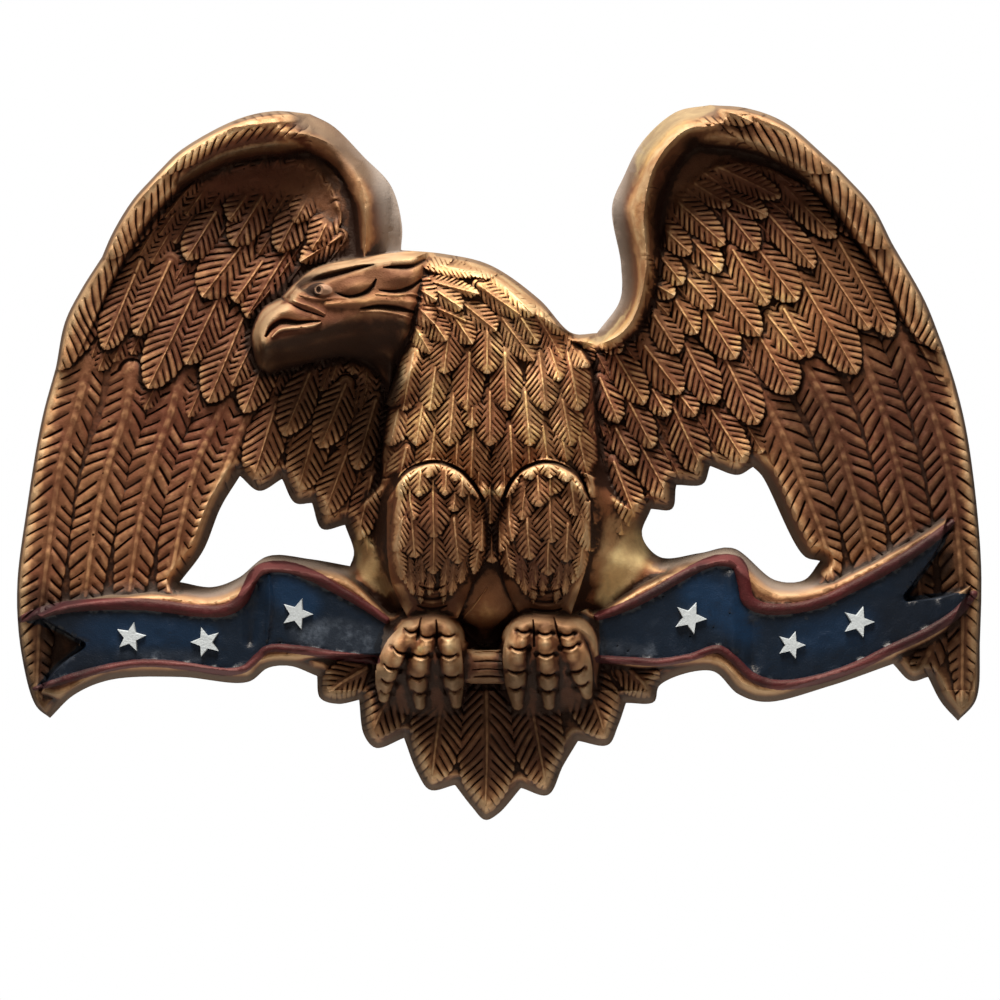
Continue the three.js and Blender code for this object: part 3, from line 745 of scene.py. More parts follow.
@dataclass(frozen=True)
class BarbCut:
    """How a feather is carved.

    Attributes:
        lift: how far the tip stands over what it lies on, in millimetres.
        crown: how far the middle stands over the sides, in millimetres.
        pitch: distance between two barbs along the shaft.
        lean: angle between barbs and shaft, in degrees.
        depth: depth of the cuts between barbs, in millimetres.
        share: width of a cut as a share of the pitch.
        shaft: half width of the shaft at the root.
        shaft_rise: how far the shaft stands over the barbs, in millimetres.
        root: width at the root as a share of the full width.
    """

    lift: float
    crown: float
    pitch: float
    lean: float
    depth: float
    share: float
    shaft: float
    shaft_rise: float
    root: float = 0.6


class Cut(Enum):
    """The kinds of feather on the plaque."""

    PRIMARY = BarbCut(1.6, 2.0, 10.4, 50, 1.9, 0.30, 4.4, 0.7, 0.95)
    LEADING = BarbCut(4.4, 2.0, 9.4, 40, 1.8, 0.36, 1.7, 1.0, 0.8)
    COVERT = BarbCut(5.4, 2.0, 7.3, 44, 1.7, 0.40, 1.5, 0.9)
    UNDER = BarbCut(1.6, 1.2, 7.0, 44, 1.3, 0.42, 1.3, 0.7, 0.8)
    TAIL = BarbCut(4.0, 2.6, 7.4, 42, 1.7, 0.40, 2.4, 1.0, 0.9)
    BREAST = BarbCut(4.6, 2.4, 6.0, 42, 1.5, 0.42, 1.4, 1.0)
    NECK = BarbCut(3.4, 1.8, 5.8, 46, 1.3, 0.42, 1.2, 0.8)
    THIGH = BarbCut(3.0, 2.2, 6.2, 44, 1.35, 0.42, 1.3, 1.0, 0.5)
    STRAND = BarbCut(1.8, 1.2, 7.0, 24, 0.9, 0.45, 0.5, 0.4, 0.8)


# Random numbers for a feather's barbs, and where its right and its left side begin among them
CHANCES = 512
SIDE_STARTS = (96, 288)


@dataclass(frozen=True)
class Feather:
    """One feather: its shaft from root to tip, and the width on both sides of it.

    Attributes:
        cut: how it is carved.
        shaft: places from root to tip.
        left: width on the side that lies left when looking from root to tip.
        right: width on the other side.
        seed: number that its unevenness comes from.
    """

    cut: BarbCut
    shaft: Sequence[Sequence[float]]
    left: float
    right: float
    seed: int

    def rise(self, canvas: Canvas) -> tuple[Window, Field, Field, Field]:
        """Works out how far the feather stands over what it lies on.

        Args:
            canvas: the net of places.

        Returns:
            The window it covers, how high its plain form stands there and how high its carved one
            does, in millimetres, 0 outside it, and where the cuts between its barbs are, up to 1.
        """
        cut = self.cut
        line = smooth_curve(self.shaft, 3.0)
        got = trace(canvas, line, max(self.left, self.right) + 1)
        length = float(np.hypot(*np.diff(line[:, :2], axis=0).T).sum())
        s = np.clip(got.along / length, 0, 1)
        rng = np.random.default_rng(self.seed)
        chance = rng.random((4, CHANCES))
        widening = cut.root + (1 - cut.root) * s / 0.4
        fullness = np.where(s < 0.4, widening, np.maximum(0, 1 - np.abs((s - 0.4) / 0.6) ** 2.4) ** 0.6)
        pitch = cut.pitch * (0.6 + 0.4 * (self.left + self.right) / 30)
        phase = (got.along - got.distance / math.tan(math.radians(cut.lean))) / pitch
        phase = phase + 0.22 * np.sin(got.along / 11.0 + self.seed) + rng.random()
        start = np.where(got.side > 0, *SIDE_STARTS)
        index = (np.floor(phase) + start).astype(int) % CHANCES
        barb = (np.floor(phase + 0.5) + start).astype(int) % CHANCES
        bow = 2 * np.abs(phase - np.floor(phase) - 0.5)
        reach = np.where(got.side > 0, self.right, self.left) * fullness
        reach = np.maximum(reach + 1.3 * (bow - 0.5) + 2.0 * (chance[3][barb] - 0.5), 0.02)
        t = got.distance / reach
        shaft = cut.shaft * (1 - 0.65 * s)
        roof = cut.lift * (0.25 + 0.75 * s) + cut.crown * (1 - np.minimum(t, 1) ** 1.5)
        notch = 1 - ease(0, cut.share * (0.7 + 0.6 * chance[0][index]), bow)
        inner = ease(0, 2.4, got.distance - shaft - 3.0 * chance[1][index])
        depth = cut.depth * (0.45 + 0.75 * chance[2][index]) * inner
        swell = 0.25 * cut.depth * bow + 0.3 * cut.depth * (chance[3][barb] - 0.5) * (1 - notch) * inner
        spine = cut.shaft_rise * (1 - ease(0.55, 1.15, got.distance / np.maximum(shaft, 0.3)))
        trim = np.clip((1 - t) * reach / 1.1, 0, 1)
        fade = ease(0, 0.10, s) if cut.shaft > 3 else 1.0
        value = (roof - notch * depth + swell + spine * fade) * trim
        return got.part, np.where(t < 1, roof * trim, 0.0), value, notch * inner * trim


def feathers_of(cut: Cut, rows: Iterable[Sequence[float]], seed: int) -> list[Feather]:
    """Lays feathers from rows of numbers.

    Args:
        cut: how they are carved.
        rows: for each the places along its shaft and its width, or its left and its right width.
        seed: first seed number.

    Returns:
        The feathers.
    """
    laid = []
    for i, row in enumerate(rows):
        split = (len(row) - 1) // 2 * 2
        left, right = row[split:] if len(row) - split == 2 else (row[-1] / 2, row[-1] / 2)
        laid.append(Feather(cut.value, stations(row[:split], 2), left, right, seed + i))
    return laid


def feather_rows(cut: Cut, rows: Iterable[tuple[float, float, float, Sequence[float]]],
                 centre: float, axis: float, lean: float, seed: int) -> list[Feather]:
    """Lays rows of hanging feathers.

    Args:
        cut: how they are carved.
        rows: for each row the tips' place down the sheet, the length, the width and the tips' places
            across, measured from centre.
        centre: where across the sheet the rows are measured from.
        axis: where across the sheet feathers hang straight.
        lean: how much they lean out for each unit from the axis.
        seed: first seed number.

    Returns:
        The feathers.
    """
    laid = []
    for tip, length, width, places in rows:
        for across in places:
            u = centre + across
            root = (u - (u - axis) * lean, tip - length)
            laid.append(Feather(cut.value, (root, (u, tip)), width / 2, width / 2, seed + len(laid)))
    return laid


@dataclass
class Wings:
    """Both wings: long primaries, leading edges and overlapping coverts."""

    primaries: tuple = (
        (897, 325, 928, 399, 945, 455, 956, 520, 962, 600, 962, 708, 24, 23),
        (855, 335, 880, 402, 900, 478, 911, 530, 925, 628, 23, 24),
        (798, 352, 830, 415, 852, 485, 866, 540, 880, 622, 24, 24),
        (752, 376, 785, 440, 805, 490, 822, 535, 835, 588, 23, 22),
        (88, 362, 78, 405, 61, 462, 47, 560, 40, 620, 36, 712, 20, 25),
        (132, 372, 124, 418, 109, 462, 94, 530, 80, 646, 22, 23),
        (182, 372, 171, 411, 154, 462, 140, 520, 123, 640, 22, 23),
        (228, 392, 214, 424, 199, 457, 184, 512, 164, 612, 20, 22),
        (256, 400, 241, 432, 222, 478, 203, 528, 190, 566, 12, 16), (936, 630, 930, 650, 914, 679, 17, 14),
    )
    leading: tuple = (
        (700, 112, 728, 112, 753, 122, 13, 14), (745, 113, 784, 129, 812, 145, 839, 168, 14, 34),
        (826, 158, 858, 193, 878, 219, 893, 248, 14, 40), (884, 236, 913, 280, 933, 314, 944, 352, 14, 34),
        (300, 120, 228, 129, 184, 151, 157, 175, 22, 14), (172, 164, 156, 180, 126, 216, 103, 258, 31, 14),
        (112, 246, 86, 285, 69, 322, 57, 370, 34, 14),
    )
    right_coverts: tuple = (
        (785, 186, 836, 238, 28), (765, 210, 815, 268, 28), (838, 240, 893, 337, 34),
        (812, 244, 870, 330, 34), (725, 208, 758, 250, 30), (671, 195, 725, 245, 28),
        (799, 276, 857, 374, 44), (759, 250, 797, 301, 36), (733, 250, 768, 305, 32),
        (693, 240, 721, 272, 26), (657, 222, 691, 254, 26), (712, 277, 760, 336, 34),
        (688, 279, 713, 308, 26), (659, 254, 683, 284, 24), (768, 315, 802, 359, 30),
        (758, 334, 794, 394, 40), (701, 304, 736, 359, 36), (676, 301, 697, 334, 26),
        (655, 316, 679, 353, 28), (725, 358, 758, 425, 36), (685, 344, 716, 404, 34),
        (645, 346, 681, 394, 34), (613, 350, 645, 405, 30), (600, 378, 619, 423, 26),
        (712, 410, 746, 463, 30), (674, 408, 705, 476, 34), (628, 400, 653, 448, 26),
        (640, 444, 671, 501, 32), (616, 428, 635, 465, 24), (614, 462, 640, 530, 30),
        (717, 166, 781, 197, 24), (728, 196, 768, 216, 20), (695, 184, 731, 206, 22),
        (655, 284, 675, 296, 20), (784, 309, 812, 357, 28), (653, 390, 668, 416, 22),
        (678, 392, 696, 416, 22), (598, 330, 622, 352, 22),
    )
    left_coverts: tuple = (
        (216, 212, 186, 260, 32), (262, 196, 232, 246, 34), (304, 200, 278, 252, 32),
        (336, 206, 312, 250, 28), (170, 262, 136, 336, 34), (140, 262, 104, 350, 34),
        (246, 240, 202, 297, 46), (288, 250, 246, 318, 36), (202, 276, 148, 389, 46),
        (243, 318, 208, 403, 42), (270, 345, 244, 413, 34), (310, 372, 284, 436, 34),
        (346, 384, 320, 448, 34), (376, 400, 356, 470, 30), (276, 404, 253, 480, 38),
        (316, 424, 298, 492, 36), (348, 450, 324, 515, 34), (372, 476, 357, 541, 28),
        (246, 196, 229, 221, 26), (312, 190, 294, 223, 24), (330, 214, 318, 242, 22),
        (222, 290, 186, 365, 34), (262, 322, 232, 386, 30), (262, 262, 234, 302, 30),
        (340, 236, 300, 262, 24), (289, 262, 268, 292, 246, 318, 14),
    )

    def feathers(self) -> list[Feather]:
        """Lays the feathers of both wings.

        Returns:
            The feathers.
        """
        coverts = [(*shaft, 1.14 * width) for *shaft, width in (*self.right_coverts, *self.left_coverts)]
        return [
            *feathers_of(Cut.PRIMARY, self.primaries, 100),
            *feathers_of(Cut.LEADING, self.leading, 200),
            *feathers_of(Cut.COVERT, coverts, 300),
        ]


@dataclass
class Body:
    """Breast, neck, thighs and tail feathers."""

    neck: tuple = (
        (424, 262, 484, 274, 20), (426, 280, 479, 294, 20), (490, 274, 537, 303, 20),
        (480, 286, 522, 316, 26), (424, 302, 466, 321, 26), (463, 303, 497, 331, 28),
        (532, 306, 563, 359, 28), (502, 318, 534, 361, 30), (412, 322, 431, 354, 22),
    )
    tail: tuple = (
        (366, 668, 340, 684, 324, 698, 40), (628, 668, 644, 684, 652, 697, 40),
        (404, 672, 384, 706, 370, 738, 52), (580, 672, 596, 706, 606, 739, 52),
        (446, 672, 437, 735, 431, 785, 56), (526, 672, 537, 735, 547, 790, 56),
        (486, 672, 487, 750, 485, 814, 62),
    )
    breast_rows: tuple = (
        (374, 50, 36, (444, 487)),
        (411, 58, 35, (403, 430, 467, 507, 546, 579)),
        (446, 54, 35, (390, 416, 449, 490, 530, 571)),
        (478, 52, 34, (428, 471, 513, 550, 588)),
        (498, 50, 32, (395, 478, 505, 594)),
        (524, 46, 30, (392, 490, 596)), (552, 46, 28, (394, 482, 500, 592)),
    )
    thighs: tuple = (
        (411, 478, 410, 500, 414, 520, 28), (456, 478, 455, 496, 453, 512, 27),
        (433, 472, 433, 500, 434, 538, 38), (468, 488, 470, 514, 471, 542, 27),
        (398, 492, 396, 514, 401, 540, 20), (411, 512, 413, 534, 415, 558, 31),
        (454, 518, 456, 540, 459, 564, 28), (434, 530, 434, 552, 433, 574, 28),
        (476, 528, 478, 550, 474, 574, 18), (396, 530, 397, 552, 403, 580, 18),
        (550, 468, 550, 482, 550, 496, 32), (528, 480, 524, 498, 522, 520, 29),
        (571, 482, 573, 498, 575, 516, 27), (550, 492, 550, 514, 552, 543, 40),
        (582, 492, 583, 512, 583, 536, 22), (510, 496, 509, 518, 512, 542, 22),
        (527, 516, 528, 538, 530, 560, 29), (568, 524, 567, 542, 566, 562, 28),
        (549, 536, 548, 556, 548, 576, 28), (506, 534, 507, 554, 513, 578, 18),
        (582, 530, 582, 552, 577, 578, 18),
    )
    strand_rows: tuple = (
        (584, 46, 15, (-27, -10, 12, 27)), (596, 44, 13, (-20, -3, 18)), (604, 40, 11, (-12, 10)),
    )
    thigh_centres: tuple = (433, 546)

    def feathers(self) -> list[Feather]:
        """Lays the feathers of the body and the tail.

        Returns:
            The feathers.
        """
        strands = [
            one
            for k, centre in enumerate(self.thigh_centres)
            for one in feather_rows(Cut.STRAND, self.strand_rows, centre, centre, -0.25, 700 + 20 * k)
        ]
        return [
            *feathers_of(Cut.TAIL, self.tail, 500),
            *feathers_of(Cut.NECK, self.neck, 550),
            *feather_rows(Cut.BREAST, self.breast_rows, 0, 490, 0.12, 600),
            *feathers_of(Cut.THIGH, self.thighs, 800),
            *strands,
        ]


@dataclass
class Head:
    """The head in profile, with brow, eye, cheek and hooked beak."""

    ridges: tuple = (
        (2.6, 292, 287, 3, 303, 276, 5, 322, 268, 5, 357, 260, 5, 396, 255, 4.5, 421, 254, 3),
        (2.0, 327, 304, 4, 357, 302, 8, 383, 300, 9, 408, 302, 8, 421, 304, 4),
        (1.0, 300, 295, 1, 318, 299, 2.2, 338, 298, 2.2, 358, 297, 1.8, 374, 288, 1),
        (0.9, 376, 294, 1, 396, 295, 1.8, 414, 294, 1.8, 422, 298, 1),
        (1.0, 284, 297, 1, 300, 303, 2.2, 314, 308, 2.2, 325, 314, 1),
        (2.4, 272, 337, 1, 280, 330, 2.6, 298, 327.5, 2.6, 312, 326, 2.4, 321, 322.5, 1),
        (1.0, 360, 311.5, 0.8, 380, 311, 1.4, 400, 314.5, 1.4, 412, 318, 0.8),
        (1.2, 262, 322, 3, 259, 332, 4, 262, 342, 3),
    )
    grooves: tuple = (
        (4.6, 299, 288, 3, 312, 281, 7, 338, 273.5, 6, 358, 268, 4, 374, 264.5, 0.6),
        (3.0, 383, 267.5, 0.6, 396, 267, 3.4, 410, 266.5, 4.4, 424, 260, 3),
        (2.4, 393, 256.5, 0.5, 406, 255, 2.6, 420, 253, 1.4),
        (2.4, 336, 293, 0.6, 349, 297, 2.4, 362, 294, 3, 372, 287, 3.4, 376, 279, 1),
        (2.6, 379, 290, 0.8, 394, 291.5, 2.6, 408, 288.5, 3.6, 421, 280, 2),
        (1.5, 278, 297, 1, 290, 303.5, 1.6, 302, 309.5, 1.6, 314, 313.5, 1.8, 324, 317, 0.8),
        (3.2, 360, 308.5, 0.6, 378, 306.5, 3.6, 396, 308, 4.4, 414, 312, 2),
        (4.2, 266, 336, 2, 272, 327, 4.5, 282, 321.5, 5, 297, 322.5, 3.6, 309, 321.5, 2.2, 321, 321, 0.8),
    )

    def carve(self, relief: Relief) -> None:
        """Works the head's details into the relief.

        Args:
            relief: the relief.
        """
        relief.blob((300, 288), (13, 11), -20, -2.6)
        relief.blob((356, 286), (22, 10), -6, 2.6)
        relief.blob((400, 277), (24, 12), -4, 2.2)
        relief.blob((290, 312), (18, 9), 18, 1.6)
        for height, *places in self.ridges:
            relief.stroke(places, height)
        for depth, *places in self.grooves:
            relief.stroke(places, -depth)
        relief.blob((323, 289.5), (12, 10), 10, 3.0)
        u, v = EYE
        turns = np.linspace(0, 2 * math.pi, 13)
        relief.stroke([(u + 5 * math.cos(a), v + 5 * math.sin(a), 1.1) for a in turns], 0.8)
        relief.blob(EYE, (3.2, 3.8), 0, -2.0)


@dataclass
class Feet:
    """Feet with three toes each, the ringed ankles, the perch bar and the web between the legs."""

    toes: tuple = (
        (411, 632, 66, 12, 396, 650, 67, 12.5, 386, 676, 60, 11, 384, 697, 45, 6),
        (425, 632, 66, 12, 421, 650, 68, 13, 418, 678, 61, 12, 420, 704, 45, 6.5),
        (446, 632, 66, 12, 449, 650, 68, 12.5, 453, 678, 61, 11.5, 456, 703, 45, 6),
        (521, 632, 66, 12, 516, 650, 68, 13, 516, 678, 61, 12, 518, 704, 45, 6.5),
        (546, 632, 66, 12, 547, 650, 68, 13, 548, 678, 61, 12, 549, 704, 45, 6.5),
        (568, 632, 66, 12, 576, 650, 67, 12.5, 582, 674, 60, 11, 587, 694, 45, 6),
    )
    perch: tuple = (466, 666, 50, 17, 486, 667, 50, 17, 508, 666, 50, 17)
    joints: tuple = (
        (400, 651, 8, 24), (391, 667, 8, 18), (388, 681, 7, 8), (386, 692, 6, 4),
        (421, 655, 8.5, 0), (418, 677, 8, 0), (420, 692, 7, 0),
        (449, 655, 8.5, 0), (452, 676, 8, 0), (455, 690, 7, -4),
        (519, 648, 8.5, 0), (517, 671, 10, 0), (515, 688, 7, 0),
        (546, 654, 8.5, 0), (548, 674, 8, 0), (548, 690, 7, 0),
        (570, 646, 8.5, -12), (577, 670, 8, -16), (582, 684, 7, -12),
        (411, 631, 6.5, 6), (427, 636, 7.5, 0), (448, 635, 8, 0),
        (524, 631, 7, 0), (545, 633, 7.5, 0), (567, 634, 7, -4),
    )
    splits: tuple = (
        (421, 618, 0.8, 419, 628, 1.8, 417, 640, 1.4), (436, 620, 0.8, 437, 632, 1.8, 436, 646, 1.8),
        (533, 620, 0.8, 534, 632, 1.8, 534, 646, 1.8), (554, 618, 0.8, 557, 630, 1.8, 561, 644, 1.4),
    )
    ankle_rings: tuple = (
        (432, 587, 13), (432, 597, 14), (432, 607, 15), (546, 590, 15), (546, 600, 16), (546, 610, 16),
    )
    perch_lines: tuple = ((652, 1.2), (661, 1.6), (669, 0.9), (676, 1.8))
    web_line: tuple = (487, 588, 0.8, 474, 606, 1.3, 463, 620, 1.3, 467, 634, 1.3, 485, 647, 1.4, 502, 637,
                       1.3, 512, 620, 1.0)

    def crescent(self, relief: Relief, u: float, v: float, half: float, turn: float, depth: float) -> None:
        """Cuts one curved crease and raises the fold of skin below it.

        Args:
            relief: the relief.
            u, v: the crease's middle.
            half: half its length.
            turn: how far it leans, in degrees.
            depth: its depth, in millimetres.
        """
        angle = math.radians(turn)
        spread = np.linspace(-1, 1, 7)
        sag = 3.4 * (1 - spread**2)
        cross = u + spread * half * math.cos(angle) - sag * math.sin(angle)
        down = v + spread * half * math.sin(angle) + sag * math.cos(angle) - 1.6
        width = 2.2 * np.sqrt(np.maximum(0.12, 1 - spread**2))
        relief.stroke(np.stack([cross, down, width], axis=1), -depth)
        relief.stroke(np.stack([cross, down + 3.8, width], axis=1), 0.45 * depth)

    def carve(self, relief: Relief) -> None:
        """Works the creases, rings and lines into the relief.

        Args:
            relief: the relief.
        """
        for places in self.splits:
            relief.stroke(places, -2.6)
        for u, v, half, turn in self.joints:
            self.crescent(relief, u, v, 0.92 * half, turn, 2.3)
            relief.blob((u, v + 10), (half + 2, 10), turn, 3.6)
            lean = math.sin(math.radians(turn))
            for side in (-1.1, 1.1):
                relief.blob((u + side * half, v + side * half * lean), (4.6, 5), 0, -2.8)
        for u, v, half in self.ankle_rings:
            self.crescent(relief, u, v, half, 0, 1.5)
        for v, width in self.perch_lines:
            relief.stroke(((472, v + 1, 0.4), (488, v, width), (504, v + 1, 0.4)), -1.6)
        relief.stroke(self.web_line, 1.0)
        for place in ((484, 492), (499, 492)):
            relief.blob(place, (8, 13), 0, 5.0)


@dataclass
class Pits:
    """Pinholes left by air in the cast."""

    named: tuple = (
        (742, 117, 1.5), (756, 121, 1.3), (722, 130, 1.5), (732, 133, 1.4), (742, 131, 1.2), (703, 120, 1.6),
        (275, 112, 1.2), (282, 118, 1.3), (252, 130, 1.2), (484, 646, 1.4), (617, 646, 1.0), (628, 651, 1.2),
        (443, 262, 1.1), (462, 262, 1.3), (466, 261, 1.1), (505, 276, 1.1), (609, 427, 1.3), (479, 681, 1.2),
        (485, 805, 1.8), (474, 802, 1.5), (547, 787, 1.2), (135, 273, 1.3), (220, 275, 1.1), (700, 118, 1.0),
    )
    scattered: int = 130
    seed: int = 17

    def prick(self, relief: Relief) -> None:
        """Pricks the named and the scattered pinholes into the relief.

        Args:
            relief: the relief.
        """
        rng = np.random.default_rng(self.seed)
        spots = list(self.named)
        for _ in range(self.scattered):
            spots.append((rng.uniform(30, 970), rng.uniform(110, 810), rng.uniform(0.6, 1.1)))
        for u, v, radius in spots:
            relief.blob((u, v), (radius + 0.5, radius + 0.5), 0, -1.1)


@dataclass
class Plaque:
    """The whole relief and the masks of its paint, painted highlights and painted shade.

    Attributes:
        canvas: the net of places.
        wings, body, head, feet, pits: the sub-assemblies.
    """

    canvas: Canvas
    wings: Wings = field(default_factory=Wings)
    body: Body = field(default_factory=Body)
    head: Head = field(default_factory=Head)
    feet: Feet = field(default_factory=Feet)
    pits: Pits = field(default_factory=Pits)
    bar_drop: float = 14.0

    def wing_level(self) -> Field:
        """Works out the wing field, with its dishes, the tail's level and the rims.

        Returns:
            The heights, in millimetres.
        """
        canvas = self.canvas
        u, v = np.meshgrid(canvas.u, canvas.v)
        dish = np.minimum(*[np.hypot(u - a, v - b) / DISH_RADIUS for a, b in DISH_CENTRES])
        level = DISH_LEVEL + (WING_LEVEL - DISH_LEVEL) * ease(0, 1, dish)
        level = np.where(v > TAIL_TOP, TAIL_LEVEL, level)
        for numbers, outer, smooth in zip(RIMS, (1, -1), (5, 7)):
            bare = [[*row, 1.0 if i < smooth else 0.0] for i, row in enumerate(stations(numbers, 4))]
            line = smooth_curve(bare, 4.0)
            got = trace(canvas, line, 34)
            crest, half, smoothness = got.carried
            t = np.minimum(1, got.distance / np.maximum(half * 1.5, 0.1))
            rim = np.minimum(0.96, 1.25 * np.maximum(0, np.cos(t * math.pi / 2))) ** 0.8
            sharp = 1 - t ** 0.85
            shelf = np.where((got.side == outer) & (t < 1), 1.0 - 0.25 * t, sharp)
            share = np.clip(smoothness, 0, 1)
            part = level[got.part.rows, got.part.cols]
            np.maximum(part, crest * (rim + (0.2 * sharp + 0.8 * shelf - rim) * 0.95 * share), out=part)
        return level

    def fill(self, known: Sequence[Feather], covered: Field) -> Iterable[Feather]:
        """Lays small feathers wherever a feathered field is still bare.

        Args:
            known: feathers whose direction the small ones take up.
            covered: how high feathers stand already; kept up to date by the caller.

        Returns:
            The small feathers, one by one.
        """
        rng = np.random.default_rng(23)
        tips = np.array([one.shaft[-1] for one in known])
        roots = np.array([one.shaft[-2] for one in known])
        ways = (tips - roots) / np.linalg.norm(tips - roots, axis=1)[:, None]
        middles = (tips + roots) / 2
        for cut, fields, length, width in (
            (Cut.UNDER, FEATHERED_FIELDS, 44, 27), (Cut.BREAST, (BREAST_FIELD,), 40, 30),
        ):
            field_mask = self.canvas.inside([stations(loop, 2) for loop in fields])
            for v in np.arange(165.0, 575.0, 9.0):
                for u in np.arange(24.0, 976.0, 9.0):
                    spot = np.array([u, v]) + rng.uniform(-2.5, 2.5, 2)
                    row = int((spot[1] - self.canvas.top) / self.canvas.cell)
                    col = int((spot[0] - self.canvas.left) / self.canvas.cell)
                    if not field_mask[row, col] or covered[row, col] > 0:
                        continue
                    weight = np.exp(-((middles - spot) ** 2).sum(1) / (2 * 34.0**2)) + 1e-12
                    way = (ways * weight[:, None]).sum(0)
                    way = way / np.hypot(*way)
                    root, tip = spot - 0.55 * length * way, spot + 0.45 * length * way
                    half = width / 2 * rng.uniform(0.85, 1.1)
                    yield Feather(cut.value, (tuple(root), tuple(tip)), half, half, int(rng.integers(9999)))

    def feathered(self, relief: Relief) -> Field:
        """Works out the wings, webs, breast and thighs with their feathers.

        Args:
            relief: the relief, which takes up the forms.

        Returns:
            The heights, in millimetres.
        """
        v = self.canvas.v[:, None]
        breast = BREAST_HEIGHT + (CROTCH_HEIGHT - BREAST_HEIGHT) * ease(430, 560, v)
        thigh = THIGH_HEIGHT - 20 * np.maximum(0, (v - 520) / 96) ** 1.3
        base = relief.mound(PLATE_EDGE, 0, self.wing_level(), 1.15, [LEFT_HOLE, RIGHT_HOLE])
        relief.height = base
        relief.join(WEB_EDGES, 10, WEB_LEVEL, 1.1, 6)
        relief.join((BREAST_EDGE,), 14, breast, 2, 3)
        relief.join((NECK_EDGE,), 34, NECK_HEIGHT, 2, 4)
        relief.join(THIGH_EDGES, 46, thigh, 2, 9)
        base = relief.height
        smooth = self.canvas.daub(SMOOTHED)
        base = base + (self.canvas.blur(base, 11) - base) * smooth
        self.base = base
        plain, rise, self.cuts = self.canvas.zeros(), self.canvas.zeros(), self.canvas.zeros()

        def lay(feather: Feather) -> None:
            """Lays one feather where it stands over the others.

            Args:
                feather: the feather.
            """
            part, roof, value, cuts = feather.rise(self.canvas)
            over = roof > plain[part.rows, part.cols]
            plain[part.rows, part.cols][over] = roof[over]
            rise[part.rows, part.cols][over] = value[over]
            self.cuts[part.rows, part.cols][over] = cuts[over]

        known = [*self.wings.feathers(), *self.body.feathers()]
        for feather in known:
            lay(feather)
        count = 0
        for feather in self.fill(known, plain):
            lay(feather)
            count += 1
        LOG.info("feathers: %d drawn, %d between them", len(known), count)
        bare = np.maximum(smooth, self.canvas.daub(BARE))
        self.cuts *= (1 - bare) * (base > 0)
        return base + np.minimum(1, 1.6 * base / WING_LEVEL) * rise * (1 - bare)

    def model(self) -> Relief:
        """Works out the whole relief.

        Returns:
            The relief, in millimetres over the back.
        """
        canvas = self.canvas
        relief = Relief(canvas)
        u = canvas.u[None, :]
        relief.height = self.feathered(relief)
        below = np.clip((canvas.v[:, None] - np.interp(u, *np.transpose(JAW_LINE))) / 48, 0, 1)
        crown = HEAD_HEIGHT - 8 * np.maximum(0, (330 - u) / 80) - 34 * below ** 1.2
        relief.join((HEAD_EDGE,), 16, crown, 2, 3)
        relief.join(RIBBON_EDGES, 6, RIBBON_LEVEL, 1.1, 1.5)
        self.ribbon_folds(relief)
        relief.join(FOOT_EDGES, 24, TOE_HEIGHT, 2, 8)
        relief.join(PAD_EDGES, 24, PAD_HEIGHT - 0.2 * (canvas.v[:, None] - 640), 1.6, 8)
        relief.raise_to(*relief.bar(self.feet.perch, self.bar_drop / 2), 4)
        for crest in self.feet.toes:
            relief.raise_to(*relief.bar(crest, self.bar_drop), 5)
        self.head.carve(relief)
        self.feet.carve(relief)
        self.pits.prick(relief)
        swell = 0.35 * canvas.wander(38, 3) + 0.26 * canvas.wander(9, 4) + 0.14 * canvas.wander(3.5, 5)
        relief.height = np.clip(relief.height + swell * np.minimum(1, self.base / 20), LIP, TALLEST)
        return relief

    def ribbon_folds(self, relief: Relief) -> None:
        """Raises the ribbon's red cords and bends its folds.

        Args:
            relief: the relief.
        """
        for places in RED_CORDS:
            relief.stroke(places, RIBBON_EDGE_RISE, round_top=True)
        relief.stroke(((256, 584, 9), (254, 606, 15), (250, 640, 9)), -2.4)
        relief.stroke(((269, 576, 2), (270, 604, 5), (267, 640, 2)), 1.6)
        relief.stroke(((752, 622, 9), (754, 640, 14), (752, 664, 9)), -1.8)
        relief.stroke(((730, 576, 8), (732, 612, 13), (734, 648, 8)), 1.8)

    def masks(self, relief: Relief) -> dict[str, Field]:
        """Works out the paint masks.

        Args:
            relief: the finished relief.

        Returns:
            Named fields: how far each place stands over its surroundings and how deep it lies, both
            used for painted highlights and painted shade, where the cords, the ribbon's field and the
            outer wall are, and where paint, painted highlights and painted shade were daubed.
        """
        canvas = self.canvas
        height = relief.height
        fine = height - canvas.blur(height, 2.6)
        broad = height - canvas.blur(height, 9)
        # How far a place lies below its wide surroundings: the mask of painted shade in hollows.
        low = canvas.blur(height, 26) - height
        cords = [smooth_curve(stations(places), OUTLINE_STEP) for places in RED_CORDS]
        ends = (((384, 632), (380, 655)), ((52, 668), (81, 645), (54, 630))), (
            ((944, 545), (908, 597), (945, 592)), ((600, 652), (600, 625)))
        fields = [
            np.vstack([upper[:, :2], after, lower[::-1, :2], before])
            for upper, lower, (after, before) in zip(cords[::2], cords[1::2], ends)
        ]
        cord = np.full(canvas.shape, -9.0)
        for line in cords:
            got = trace(canvas, line, 16)
            part = cord[got.part.rows, got.part.cols]
            np.maximum(part, got.carried[0] - got.distance, out=part)
        wall = canvas.climb([one for loop in (PLATE_EDGE, LEFT_HOLE, RIGHT_HOLE) for one in loop])
        wall[canvas.inside([ring(HEAD_EDGE)])] = 1.0
        return {
            "raised": np.clip(0.9 * fine + 0.35 * broad, -2, 2),
            "deep": np.clip(low / 14, 0, 1.5),
            "cut": np.where(height <= self.base + 9, self.cuts, 0.0),
            "cord": cord,
            "ribbon": canvas.blur(canvas.inside(fields).astype(float), 1.2),
            "wall": 1 - np.minimum(wall, 1),
            **{area.name.lower(): canvas.daub(area.value) for area in DaubedPaintLightAndShade},
        }


